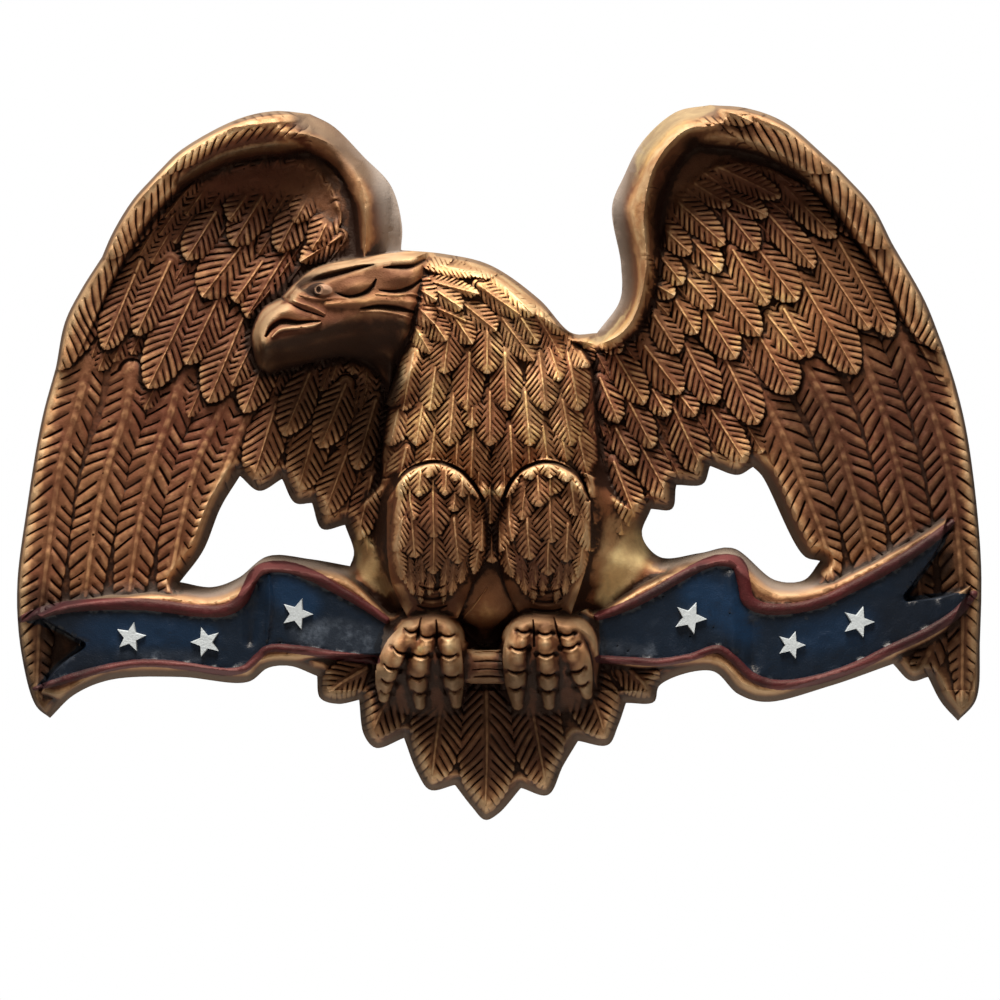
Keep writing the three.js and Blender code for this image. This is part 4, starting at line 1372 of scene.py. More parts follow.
class DaubedPaintLightAndShade(Enum):
    """Daubed paint, painted highlights and painted shade: strength, and places with the half width of the
    brush.
    """

    # Rubbed gold paint, with painted highlights: stronger lit ridges there, and lighter blue on the ribbon's
    # folds that face the light.
    BRIGHT = (
        (0.8, 585, 345, 9, 610, 335, 11, 632, 305, 9), (0.45, 634, 300, 9, 640, 250, 8, 636, 195, 9),
        (0.76, 634, 185, 8, 642, 155, 20, 662, 130, 24, 692, 114, 20, 712, 108, 10),
        (0.5, 164, 170, 6, 200, 149, 9, 240, 133, 9, 287, 128, 7),
        (1.0, 634, 546, 30, 622, 570, 32, 604, 598, 15), (0.74, 622, 530, 50, 608, 575, 48),
        (0.86, 634, 546, 42, 620, 570, 44, 604, 598, 24), (0.3, 640, 400, 60, 690, 440, 50, 750, 470, 40),
        (0.68, 700, 280, 70, 800, 330, 60), (0.71, 440, 290, 40, 500, 320, 70, 540, 400, 70, 560, 470, 40),
        (0.69, 425, 340, 36, 440, 430, 60, 420, 480, 40),
        (0.66, 391, 494, 6, 404, 474, 8, 433, 463, 9, 462, 472, 8, 480, 492, 6),
        (0.66, 505, 490, 6, 519, 473, 8, 547, 463, 9, 572, 471, 8, 587, 492, 6),
        (0.84, 364, 546, 26, 372, 572, 28, 388, 592, 16), (0.5, 485, 600, 14, 485, 630, 16),
        (0.8, 484, 492, 8, 499, 492, 8), (0.9, 420, 647, 7, 421, 650, 7), (0.5, 450, 641, 6, 451, 650, 6),
        (0.7, 320, 303, 4, 360, 299, 6, 383, 295, 6, 418, 300, 5), (0.75, 284, 590, 24, 306, 604, 22),
        (0.45, 90, 634, 24, 150, 632, 24, 205, 636, 20), (0.75, 698, 592, 28, 720, 605, 32, 746, 630, 20),
        (0.4, 800, 640, 26, 860, 625, 26),
    )
    PALE = (
        (0.9, 334, 118, 5, 358, 140, 11, 382, 166, 18, 391, 195, 23, 393, 225, 23, 394, 244, 18),
        (0.9, 640, 138, 6, 622, 165, 13, 611, 195, 17, 612, 230, 18, 615, 270, 18, 613, 300, 15, 600, 326,
         8),
        (0.55, 70, 598, 6, 110, 591, 9, 160, 588, 9, 212, 594, 8, 240, 582, 8, 262, 562, 8, 310, 563, 8,
         345, 574, 7),
        (0.55, 652, 570, 6, 700, 555, 7, 735, 552, 8, 775, 586, 9, 815, 586, 9, 860, 566, 9, 900, 545, 9,
         940, 521, 6), (0.9, 300, 634, 16, 345, 636, 22, 385, 640, 16), (0.9, 604, 648, 10, 650, 652, 8),
        (0.5, 120, 655, 8, 200, 655, 8), (0.9, 38, 683, 4, 58, 664, 5, 79, 648, 4),
        (0.9, 914, 598, 4, 940, 596, 4, 958, 592, 4), (0.7, 583, 617, 5, 586, 617, 5),
    )
    # Painted shade, with some dark paint: under the head and beak, at brow and eye, in the wing dishes,
    # between the thighs, over feet, tail and ribbon ends.
    DARK_PAINT_AND_SHADE = (
        (1.0, 254, 352, 9, 275, 346, 12, 300, 341, 14, 325, 333, 14, 345, 328, 14, 366, 326, 14, 390, 325,
         13, 412, 327, 9),
        (1.0, 256, 360, 12, 290, 355, 17, 320, 350, 20, 350, 343, 21, 380, 340, 21, 404, 345, 15),
        (1.0, 262, 371, 13, 300, 366, 15, 340, 358, 17, 375, 356, 18, 394, 374, 16, 390, 402, 13),
        (0.5, 420, 253, 12, 445, 256, 15, 490, 266, 16, 540, 300, 14, 572, 332, 10),
        (0.5, 256, 350, 8, 257, 328, 11, 272, 308, 11, 292, 292, 9, 312, 275, 7, 330, 266, 5),
        (1.0, 297, 284, 5, 304, 289, 6, 312, 294, 4), (0.2, 300, 275, 30, 350, 268, 26, 410, 268, 24),
        (1.0, 335, 292, 2.5, 352, 297, 3.4, 370, 290, 3.6, 376, 281, 2),
        (1.0, 298, 284, 8, 308, 280, 9, 322, 277, 8, 340, 272.5, 6.5, 358, 268, 4.6, 373, 264.5, 2.6),
        (0.9, 385, 267.5, 2, 398, 267, 3.4, 412, 266, 4, 422, 262, 3),
        (0.9, 381, 290.5, 2, 396, 291.5, 3, 409, 288.5, 3.6, 420, 281, 2),
        (0.9, 362, 308, 2, 379, 306.5, 3.6, 397, 308, 4, 413, 312, 2),
        (0.4, 300, 140, 22, 340, 150, 24, 366, 190, 22, 368, 245, 20),
        (0.4, 585, 343, 12, 612, 332, 14, 638, 300, 14, 645, 250, 14, 642, 200, 14, 650, 160, 16, 680, 130,
         18, 730, 122, 18), (0.5, 640, 440, 50, 690, 450, 50), (0.6, 350, 240, 14, 352, 256, 14),
        (0.5, 400, 628, 16, 430, 622, 20, 462, 632, 14), (0.5, 512, 628, 16, 545, 622, 20, 590, 632, 16),
        (0.5, 230, 168, 34, 290, 165, 40, 335, 195, 26, 345, 240, 16),
        (0.9, 178, 184, 8, 205, 166, 10, 240, 154, 11, 280, 149, 12, 315, 158, 12, 336, 186, 10),
        (0.8, 690, 146, 14, 730, 150, 12, 775, 162, 11, 808, 178, 9),
        (0.9, 614, 601, 2.5, 650, 583, 3.5, 680, 568, 3.5, 702, 556, 3),
        (0.8, 640, 600, 5, 656, 591, 6, 680, 577, 6, 705, 565, 6), (0.6, 200, 225, 50, 280, 225, 50),
        (0.6, 680, 172, 26, 720, 155, 30, 790, 168, 34), (0.5, 660, 200, 20, 760, 200, 40, 830, 210, 30),
        (0.7, 300, 390, 50, 350, 400, 50, 375, 450, 30),
        (0.78, 400, 715, 50, 487, 700, 80, 570, 715, 50, 487, 760, 50),
        (0.3, 110, 300, 50, 180, 330, 60, 230, 370, 50), (0.6, 340, 685, 34, 640, 685, 34),
        (0.6, 640, 685, 34, 642, 685, 34), (0.6, 900, 380, 60, 925, 480, 75, 935, 560, 70, 955, 690, 60),
        (0.6, 820, 420, 60, 850, 520, 60), (0.8, 40, 600, 30, 45, 640, 40, 35, 700, 40),
        (0.4, 405, 570, 16, 434, 575, 26, 462, 570, 16), (0.4, 518, 570, 16, 546, 575, 26, 575, 570, 16),
        (0.6, 405, 600, 16, 460, 600, 16), (0.6, 515, 600, 16, 575, 600, 16),
        (0.62, 390, 692, 28, 455, 692, 28), (0.62, 516, 692, 28, 590, 692, 28),
        (0.6, 60, 610, 40, 80, 660, 40), (0.7, 900, 620, 46, 950, 580, 40),
        (1.0, 44, 634, 15, 60, 645, 17, 46, 662, 17), (1.0, 930, 578, 16, 945, 570, 16, 948, 556, 12),
        (0.8, 915, 655, 24, 925, 670, 20), (0.4, 160, 130, 20, 110, 220, 26, 70, 320, 26),
        (0.62, 830, 150, 24, 900, 230, 28, 950, 340, 28),
    )


def front_view(canvas: Canvas, height: Field) -> tuple[Field, Field]:
    """Makes the front of the casting as points and triangles.

    Args:
        canvas: the net of places.
        height: heights over the back, in metres.

    Returns:
        The points, and the triangles as rows of three point numbers.
    """
    loops = [ring(loop) for loop in (PLATE_EDGE, LEFT_HOLE, RIGHT_HOLE)]
    kept = canvas.inside(loops, 0.5)[:-1, :-1]
    count = np.zeros(canvas.shape, int)
    for rows, cols in ((0, 0), (0, 1), (1, 0), (1, 1)):
        count[rows : rows + kept.shape[0], cols : cols + kept.shape[1]] += kept
    used = count > 0
    number = np.cumsum(used).reshape(used.shape) - 1
    grid_u, grid_v = np.meshgrid(canvas.u, canvas.v)
    u, v, h = grid_u[used], grid_v[used], height[used].copy()
    rim = np.flatnonzero(count[used] < 4)
    u[rim], v[rim] = nearest_on(loops, u[rim], v[rim])
    h[rim] = LIP * MM
    a, b = number[:-1, :-1][kept], number[:-1, 1:][kept]
    c, d = number[1:, 1:][kept], number[1:, :-1][kept]
    flat = (np.abs(h[a] - h[c]) < np.abs(h[b] - h[d]))[:, None]
    first = np.where(flat, np.stack([a, d, c], 1), np.stack([a, d, b], 1))
    second = np.where(flat, np.stack([a, c, b], 1), np.stack([b, d, c], 1))
    return SHEET.place(u, v, h), np.concatenate([first, second])


def nearest_on(loops: Sequence[Line], u: Field, v: Field) -> tuple[Field, Field]:
    """Moves places to the nearest point of closed loops.

    Args:
        loops: closed loops of points.
        u, v: the places.

    Returns:
        The moved places.
    """
    starts = np.vstack(loops)
    steps = np.vstack([np.roll(loop, -1, axis=0) - loop for loop in loops])
    out_u, out_v = u.copy(), v.copy()
    for at in range(0, len(u), 1000):
        part = slice(at, at + 1000)
        du, dv = u[part, None] - starts[:, 0], v[part, None] - starts[:, 1]
        t = np.clip((du * steps[:, 0] + dv * steps[:, 1]) / (steps**2).sum(1), 0, 1)
        best = np.argmin((du - t * steps[:, 0]) ** 2 + (dv - t * steps[:, 1]) ** 2, axis=1)
        share = t[np.arange(len(best)), best]
        out_u[part] = starts[best, 0] + share * steps[best, 0]
        out_v[part] = starts[best, 1] + share * steps[best, 1]
    return out_u, out_v


def new_mesh(name: str, points: Field, triangles: Field) -> bpy.types.Mesh:
    """Makes a mesh of triangles.

    Args:
        name: its name.
        points, triangles: the mesh.

    Returns:
        The mesh.
    """
    mesh = bpy.data.meshes.new(name)
    mesh.vertices.add(len(points))
    mesh.vertices.foreach_set("co", np.asarray(points, np.float32).ravel())
    mesh.loops.add(3 * len(triangles))
    mesh.loops.foreach_set("vertex_index", np.asarray(triangles, np.int32).ravel())
    mesh.polygons.add(len(triangles))
    mesh.polygons.foreach_set("loop_start", np.arange(0, 3 * len(triangles), 3, dtype=np.int32))
    mesh.update(calc_edges=True)
    return mesh


def new_piece(name: str, mesh: bpy.types.Mesh) -> bpy.types.Object:
    """Puts a mesh into the scene as an object at the origin."""
    piece = bpy.data.objects.new(name, mesh)
    bpy.context.scene.collection.objects.link(piece)
    return piece


def parts_of(mesh: bpy.types.Mesh) -> tuple[Field, Field]:
    """Reads a mesh of triangles.

    Args:
        mesh: the mesh.

    Returns:
        Its points, and its triangles as rows of three point numbers.
    """
    points = np.empty(3 * len(mesh.vertices), np.float32)
    corners = np.empty(len(mesh.loops), np.int32)
    mesh.vertices.foreach_get("co", points)
    mesh.loops.foreach_get("vertex_index", corners)
    return points.reshape(-1, 3).astype(float), corners.reshape(-1, 3).astype(int)


def as_plain_mesh(piece: bpy.types.Object, name: str) -> bpy.types.Object:
    """Turns a piece and its modifiers into a plain mesh piece.

    Args:
        piece: the piece, which is removed.
        name: name of the new piece.

    Returns:
        The new piece.
    """
    seen = piece.evaluated_get(bpy.context.evaluated_depsgraph_get())
    mesh = bpy.data.meshes.new_from_object(seen)
    bpy.data.objects.remove(piece, do_unlink=True)
    mesh.name = name
    return new_piece(name, mesh)


def thinned(points: Field, triangles: Field, target: int) -> tuple[Field, Field]:
    """Thins a mesh where it is nearly flat.

    Args:
        points, triangles: the mesh.
        target: about how many triangles are left.

    Returns:
        The thinned mesh's points and triangles.
    """
    piece = new_piece("dense_front", new_mesh("dense_front", points, triangles))
    modifier = piece.modifiers.new("thin", "DECIMATE")
    modifier.ratio = target / len(triangles)
    modifier.use_collapse_triangulate = True
    piece = as_plain_mesh(piece, "thin_front")
    parts = parts_of(piece.data)
    bpy.data.objects.remove(piece, do_unlink=True)
    return parts


def open_loops(triangles: Field) -> list[Field]:
    """Follows the edges that only one triangle uses.

    Args:
        triangles: rows of three point numbers.

    Returns:
        Loops of point numbers.
    """
    pairs = np.concatenate([triangles[:, [0, 1]], triangles[:, [1, 2]], triangles[:, [2, 0]]])
    size = triangles.max() + 1
    codes = pairs[:, 0] * size + pairs[:, 1]
    single = pairs[~np.isin(codes, pairs[:, 1] * size + pairs[:, 0])]
    following: dict[int, list[int]] = {}
    for a, b in single:
        following.setdefault(int(a), []).append(int(b))
    loops = []
    while following:
        at = next(iter(following))
        loop = []
        while at in following:
            loop.append(at)
            options = following[at]
            at = options.pop()
            if not options:
                del following[loop[-1]]
        loops.append(np.array(loop))
    return loops


def is_inside(points: Field, loops: Sequence[Field]) -> Field:
    """Says which points lie inside an odd number of loops.

    Args:
        points: rows of two numbers.
        loops: closed loops of points.

    Returns:
        An array of true and false.
    """
    odd = np.zeros(len(points), bool)
    for loop in loops:
        ends = np.roll(loop, -1, axis=0)
        for a, b in zip(loop, ends):
            crosses = (a[1] > points[:, 1]) != (b[1] > points[:, 1])
            if crosses.any():
                at = a[0] + (points[:, 1] - a[1]) * (b[0] - a[0]) / (b[1] - a[1])
                odd ^= crosses & (points[:, 0] < at)
    return odd


@dataclass
class Casting:
    """The casting as one closed body: the worked front, the edge and a flat back with its pocket.

    Attributes:
        plaque: the relief.
        triangles: about how many triangles the front has.
        pocket_at, pocket_size: the hanging pocket's centre and size, in metres.
        edge_spread: how far the flat layout spreads where the side walls end.
        back_scale, back_shift: size and place of the back in that layout.
    """

    plaque: Plaque
    triangles: int = 186_000
    pocket_at: tuple[float, float] = (0.0, 0.0634)
    pocket_size: tuple[float, float, float] = (0.030, 0.014, 0.016)
    edge_spread: float = 0.004
    back_scale: Point = (-0.28, 0.28)
    back_shift: Point = (0.30, -0.06)

    def back(self, edges: Sequence[Field]) -> tuple[Field, Field, Field]:
        """Fills the flat back round the pocket.

        Args:
            edges: loops of points on the back plane, as rows of x and z.

        Returns:
            The pocket's points, the back's triangles, numbered through the edges and then the
            pocket's mouth and floor, and the pocket's triangles.
        """
        x, z = self.pocket_at
        wide, deep, high = (size / 2 for size in self.pocket_size)
        corners = ((-1, -1), (1, -1), (1, 1), (-1, 1))
        mouth = np.array([(x + a * wide, z + b * high) for a, b in corners])
        loops = [*edges, mouth]
        flat = np.vstack(loops)
        starts = np.cumsum([0] + [len(loop) for loop in loops])
        bounds = [
            (int(first) + i, int(first) + (i + 1) % len(loop))
            for first, loop in zip(starts, loops)
            for i in range(len(loop))
        ]
        made = delaunay_2d_cdt([Vector(p) for p in flat.tolist()], bounds, [], 0, 1e-9)
        faces = np.array([face for face in made[2] if max(face) < len(flat)])
        within = is_inside(flat[faces].mean(axis=1), loops)
        faces = faces[within]
        p, q, r = (flat[faces[:, k]] for k in range(3))
        turn = (q - p)[:, 0] * (r - p)[:, 1] - (q - p)[:, 1] * (r - p)[:, 0]
        faces[turn > 0] = faces[turn > 0][:, ::-1]
        n = int(starts[-2])
        rims = np.array([(n + i, n + (i + 1) % 4, n + 4 + i, n + 4 + (i + 1) % 4) for i in range(4)])
        walls = np.concatenate([rims[:, [0, 1, 2]], rims[:, [1, 3, 2]]])
        floor = np.array([(n + 4, n + 6, n + 5), (n + 4, n + 7, n + 6)])
        pocket = np.array([(px, 0.0, pz) for px, pz in mouth] + [(px, -2 * deep, pz) for px, pz in mouth])
        return pocket, faces, np.concatenate([walls, floor])

    def build(self) -> bpy.types.Object:
        """Builds the closed body with its paint masks.

        Returns:
            The piece.
        """
        relief = self.relief = self.plaque.model()
        canvas = self.plaque.canvas
        points, triangles = thinned(*front_view(canvas, relief.height * MM), self.triangles)
        loops = open_loops(triangles)
        LOG.info("front: %d triangles, %d edges", len(triangles), len(loops))
        rim = np.concatenate(loops)
        u, v = SHEET.unplace(points)
        under = SHEET.place(u[rim], v[rim], np.zeros(len(rim)))
        number = dict(zip(rim.tolist(), range(len(rim))))
        edges = [under[[number[i] for i in loop]][:, [0, 2]] for loop in loops]
        pocket, flat_faces, pocket_faces = self.back(edges)
        n = len(points)
        sides = np.array([
            face
            for loop in loops
            for a, b in zip(loop.tolist(), np.roll(loop, -1).tolist())
            for face in ((b, a, n + number[a]), (b, n + number[a], n + number[b]))
        ])
        whole = np.vstack([points, under, pocket])
        faces = np.concatenate([triangles, sides, flat_faces + n, pocket_faces + n])
        piece = new_piece("casting", new_mesh("casting", whole, faces))
        painted = len(triangles) + len(sides)
        piece.data.polygons.foreach_set("material_index", np.arange(len(faces)) >= painted)
        self.keep_masks(piece.data, relief, whole)
        self.unroll(piece.data, whole, faces, painted)
        piece.data.shade_smooth()
        piece.data.set_sharp_from_angle(angle=math.radians(CREASE_ANGLE))
        return piece

    def height_at(self, place: Point) -> float:
        """Reads the relief's height at a place on the sheet, in metres."""
        u, v = (np.array([x]) for x in place)
        return float(self.plaque.canvas.sample(self.relief.height, u, v)[0]) * MM

    def keep_masks(self, mesh: bpy.types.Mesh, relief: Relief, points: Field) -> None:
        """Stores the paint masks, those of painted highlight and shade included, and the upward tilt of the
        surface on the mesh's points.

        Args:
            mesh: the casting's mesh.
            relief: the finished relief.
            points: the mesh's points.
        """
        u, v = SHEET.unplace(points)
        for name, values in self.plaque.masks(relief).items():
            layer = mesh.attributes.new(name, "FLOAT", "POINT")
            layer.data.foreach_set("value", self.plaque.canvas.sample(values, u, v).astype(np.float32))
        # The upward tilt, for painted light on faces that face up.
        normals = np.empty(3 * len(points), np.float32)
        mesh.vertex_normals.foreach_get("vector", normals)
        layer = mesh.attributes.new("upward", "FLOAT", "POINT")
        layer.data.foreach_set("value", np.ascontiguousarray(normals[2::3]))

    def unroll(self, mesh: bpy.types.Mesh, points: Field, faces: Field, painted: int) -> None:
        """Lays the surface out flat: the front as on the sheet, the back small below it.

        Args:
            mesh: the casting's mesh.
            points, faces: its points and triangles.
            painted: how many of the triangles, from the first, aren't part of the back.
        """
        u, v = SHEET.unplace(points)
        flat = np.stack([u / 1000, 1 - v / 1000], axis=1)
        where = flat[faces]
        front, edge = np.arange(len(faces)) < painted, points[faces][..., 1] > -1e-6
        where[front[:, None] & edge] += (where[front[:, None] & edge] - 0.5) * self.edge_spread
        where[~front] = where[~front] * self.back_scale + self.back_shift
        layer = mesh.uv_layers.new(name="OFBake")
        layer.uv.foreach_set("vector", where.astype(np.float32).ravel())


@dataclass
class RibbonStars:
    """Six raised five-pointed stars on the ribbon.

    Attributes:
        stars: for each its place, its radius on the sheet, and how far it leans, in degrees.
        waist: radius of the inner corners as a share of the tips'.
        rise: how far they stand over the ribbon, in metres.
        sink: how deep they sit in it, in metres.
    """

    stars: tuple = (
        (131, 637, 16.5, 12), (206, 642, 16.5, -18), (297, 614, 17.5, 19),
        (690, 618, 18.0, 22), (791, 645, 15.5, 18), (858, 622, 17.5, 18),
    )
    waist: float = 0.44
    rise: float = STAR_RISE * MM
    sink: float = 1.5 * MM

    def tree(self, paint: bpy.types.Material) -> bpy.types.NodeTree:
        """Builds the tree that sets a star on each of its points.

        Args:
            paint: the stars' material.

        Returns:
            The tree, whose inputs are the waist, the rise and the sink.
        """
        tree = bpy.data.node_groups.new("raised_stars", "GeometryNodeTree")
        face = tree.interface
        face.new_socket("Places", in_out="INPUT", socket_type="NodeSocketGeometry")
        for name in ("Waist", "Rise", "Sink"):
            face.new_socket(name, in_out="INPUT", socket_type="NodeSocketFloat")
        face.new_socket("Stars", in_out="OUTPUT", socket_type="NodeSocketGeometry")
        add = NodeMaker(tree).node
        given = add("NodeGroupInput", {}, {}).outputs
        star = add("GeometryNodeCurveStar", {}, {
            "Points": 5, "Outer Radius": 1.0, "Inner Radius": given["Waist"],
        })
        flat = add("GeometryNodeFillCurve", {}, {"Curve": star.outputs["Curve"]}).outputs["Mesh"]
        height = add("ShaderNodeMath", {"operation": "ADD"}, {0: given["Rise"], 1: given["Sink"]})
        raised = add("GeometryNodeExtrudeMesh", {}, {
            "Mesh": flat, "Offset Scale": height.outputs[0], "Individual": False,
        }).outputs
        bevelled = add("GeometryNodeScaleElements", {}, {
            "Geometry": raised["Mesh"], "Selection": raised["Top"], "Scale": 0.87,
        })
        turned = add("GeometryNodeFlipFaces", {}, {"Mesh": flat})
        joined = add("GeometryNodeJoinGeometry", {}, {"Geometry": bevelled.outputs[0]})
        tree.links.new(turned.outputs[0], joined.inputs[0])
        closed = add("GeometryNodeMergeByDistance", {}, {"Geometry": joined.outputs[0], "Distance": 1e-4})
        down = add("ShaderNodeMath", {"operation": "MULTIPLY"}, {0: given["Sink"], 1: -1.0})
        drop = add("ShaderNodeCombineXYZ", {}, {"Z": down.outputs[0]})
        sunk = add("GeometryNodeTransform", {}, {
            "Geometry": closed.outputs[0], "Translation": drop.outputs[0],
        })
        kind = {"data_type": "FLOAT"}
        size, spin = (
            add("GeometryNodeInputNamedAttribute", kind, {"Name": name}).outputs["Attribute"]
            for name in ("size", "spin")
        )
        scale = add("ShaderNodeCombineXYZ", {}, {"X": size, "Y": size, "Z": 1.0})
        angle = add("ShaderNodeCombineXYZ", {}, {"X": math.pi / 2, "Y": spin})
        placed = add("GeometryNodeInstanceOnPoints", {}, {
            "Points": given["Places"], "Instance": sunk.outputs[0], "Scale": scale.outputs[0],
            "Rotation": angle.outputs[0],
        })
        real = add("GeometryNodeRealizeInstances", {}, {"Geometry": placed.outputs[0]})
        dressed = add("GeometryNodeSetMaterial", {}, {"Geometry": real.outputs[0], "Material": paint})
        add("NodeGroupOutput", {}, {"Stars": dressed.outputs[0]})
        return tree

    def build(self, height_at: Callable[[Point], float], paint: bpy.types.Material) -> bpy.types.Object:
        """Sets the stars on the ribbon.

        Args:
            height_at: gives the ribbon's height at a place on the sheet, in metres.
            paint: the stars' material.

        Returns:
            The piece.
        """
        u, v, radius, turn = np.transpose(self.stars)
        height = np.array([height_at(place) for place in zip(u, v)])
        mesh = bpy.data.meshes.new("star_places")
        mesh.from_pydata(SHEET.place(u, v, height).tolist(), [], [])
        size = radius * SHEET.unit * (1 - height / SHEET.eye)
        for name, values in (("size", size), ("spin", np.radians(turn - 90))):
            layer = mesh.attributes.new(name, "FLOAT", "POINT")
            layer.data.foreach_set("value", values.astype(np.float32))
        piece = new_piece("star_places", mesh)
        modifier = piece.modifiers.new("stars", "NODES")
        modifier.node_group = self.tree(paint)
        sockets = {
            item.name: item.identifier
            for item in modifier.node_group.interface.items_tree
            if item.in_out == "INPUT"
        }
        modifier[sockets["Waist"]] = self.waist
        modifier[sockets["Rise"]] = self.rise
        modifier[sockets["Sink"]] = self.sink
        return as_plain_mesh(piece, "ribbon_stars")


class NodeMaker:
    """Adds nodes to a tree."""

    def __init__(self, tree: bpy.types.NodeTree) -> None:
        """Keeps the tree."""
        self.tree = tree

    def node(self, kind: str, settings: dict[str, Any], values: dict[Any, Any]) -> bpy.types.Node:
        """Adds a node.

        Args:
            kind: the node's type.
            settings: its own settings, which are set first.
            values: numbers, colours or links for its sockets, by name or number.

        Returns:
            The node.
        """
        node = self.tree.nodes.new(kind)
        for name, value in settings.items():
            setattr(node, name, value)
        for name, value in values.items():
            socket = node.inputs[name]
            value = value.socket if isinstance(value, Value) else value
            if isinstance(value, bpy.types.NodeSocket):
                self.tree.links.new(value, socket)
            else:
                socket.default_value = value
        return node


@dataclass(frozen=True)
class Value:
    """A number, colour or vector in a material, which can be reckoned with.

    Attributes:
        maker: adds nodes to the material.
        socket: where the value comes from.
    """

    maker: NodeMaker
    socket: bpy.types.NodeSocket

    def math(self, operation: str, *given: Any, clamp: bool = False) -> "Value":
        """Adds a Math node over the given values."""
        settings = {"operation": operation, "use_clamp": clamp}
        node = self.maker.node("ShaderNodeMath", settings, dict(enumerate(given)))
        return Value(self.maker, node.outputs[0])

    def __add__(self, other: Any) -> "Value":
        """Sum."""
        return self.math("ADD", self, other)

    __radd__ = __add__

    def __sub__(self, other: Any) -> "Value":
        """Difference."""
        return self.math("SUBTRACT", self, other)

    def __rsub__(self, other: Any) -> "Value":
        """Difference the other way round."""
        return self.math("SUBTRACT", other, self)

    def __mul__(self, other: Any) -> "Value":
        """Product."""
        return self.math("MULTIPLY", self, other)

    __rmul__ = __mul__

    def at_most(self, other: Any) -> "Value":
        """The lower of two values."""
        return self.math("MINIMUM", self, other)

    def held(self) -> "Value":
        """The value held between 0 and 1."""
        return self.math("ADD", self, 0.0, clamp=True)

    def rise(self, low: float, high: float) -> "Value":
        """Rises smoothly from 0 to 1.

        Args:
            low: where it begins to rise.
            high: where it ends.

        Returns:
            The value.
        """
        given = {"Value": self, "From Min": low, "From Max": high}
        node = self.maker.node("ShaderNodeMapRange", {"interpolation_type": "SMOOTHSTEP"}, given)
        return Value(self.maker, node.outputs[0])


Colour = tuple[float, float, float, float]


def paint(red: int, green: int, blue: int) -> Colour:
    """Turns a colour as a screen shows it into the light it gives back."""
    parts = [c / 255 for c in (red, green, blue)]
    return (*(c / 12.92 if c < 0.04045 else ((c + 0.055) / 1.055) ** 2.4 for c in parts), 1.0)


class PaintShop:
    """Mixes one procedural material."""

    def __init__(self, name: str) -> None:
        """Starts an empty material.

        Args:
            name: its name.
        """
        self.material = bpy.data.materials.new(name)
        self.material.use_nodes = True
        self.material.node_tree.nodes.clear()
        self.maker = NodeMaker(self.material.node_tree)
        where = self.maker.node("ShaderNodeTexCoord", {}, {})
        self.where = where.outputs["Object"]

    def mask(self, name: str) -> Value:
        """Reads a paint mask from the piece's points."""
        node = self.maker.node("ShaderNodeAttribute", {"attribute_name": name}, {})
        return Value(self.maker, node.outputs["Fac"])

    def noise(self, scale: float, detail: float = 3.0, roughness: float = 0.55, shift: float = 0.0) -> Value:
        """Cloudy unevenness between 0 and 1.

        Args:
            scale: swells for each metre.
            detail: how many finer layers it has.
            roughness: how strong the finer layers are.
            shift: moves the pattern, so that two of them differ.

        Returns:
            The value.
        """
        where = self.maker.node("ShaderNodeMapping", {}, {"Vector": self.where, "Location": (shift,) * 3})
        node = self.maker.node("ShaderNodeTexNoise", {}, {
            "Vector": where.outputs[0], "Scale": scale, "Detail": detail, "Roughness": roughness,
        })
        return Value(self.maker, node.outputs["Fac"])

    def spot(self, centre: Point, radii: Point, turn: float) -> Value:
        """Distance from a place on the sheet, as a share of an oval round it.

        Args:
            centre: the place.
            radii: the oval's half width and half height, on the sheet.
            turn: how far the oval leans, in degrees.

        Returns:
            The value, 1 on the oval.
        """
        x, _, z = SHEET.place(*(np.array(c) for c in centre), np.array(HEAD_HEIGHT * MM))
        parts = self.maker.node("ShaderNodeSeparateXYZ", {}, {"Vector": self.where}).outputs
        across, up = (Value(self.maker, parts[name]) - float(at) for name, at in (("X", x), ("Z", z)))
        size = SHEET.unit * (1 - HEAD_HEIGHT * MM / SHEET.eye)
        c, s = math.cos(math.radians(turn)), math.sin(math.radians(turn))
        long = (across * c - up * s) * (1 / (radii[0] * size))
        short = (across * s + up * c) * (1 / (radii[1] * size))
        return short.math("SQRT", long * long + short * short)

    def mix(self, share: Any, first: Any, second: Any) -> Value:
        """Blends two colours."""
        node = self.maker.node("ShaderNodeMix", {"data_type": "RGBA"}, {0: share, 6: first, 7: second})
        return Value(self.maker, node.outputs[2])

    def finish(self, base: Value, fixed: dict[str, Any], bump: Value, depth: float) -> bpy.types.Material:
        """Ends the material in its shader.

        Args:
            base: the colour.
            fixed: values for the shader's other sockets.
            bump: fine unevenness of the surface.
            depth: depth of that unevenness, in metres.

        Returns:
            The material.
        """
        height = {"Height": bump, "Distance": depth, "Strength": 1.0}
        normal = self.maker.node("ShaderNodeBump", {}, height).outputs["Normal"]
        given = {"Base Color": base, "Normal": normal, **fixed}
        shader = self.maker.node("ShaderNodeBsdfPrincipled", {}, given)
        self.maker.node("ShaderNodeOutputMaterial", {}, {"Surface": shader.outputs[0]})
        return self.material


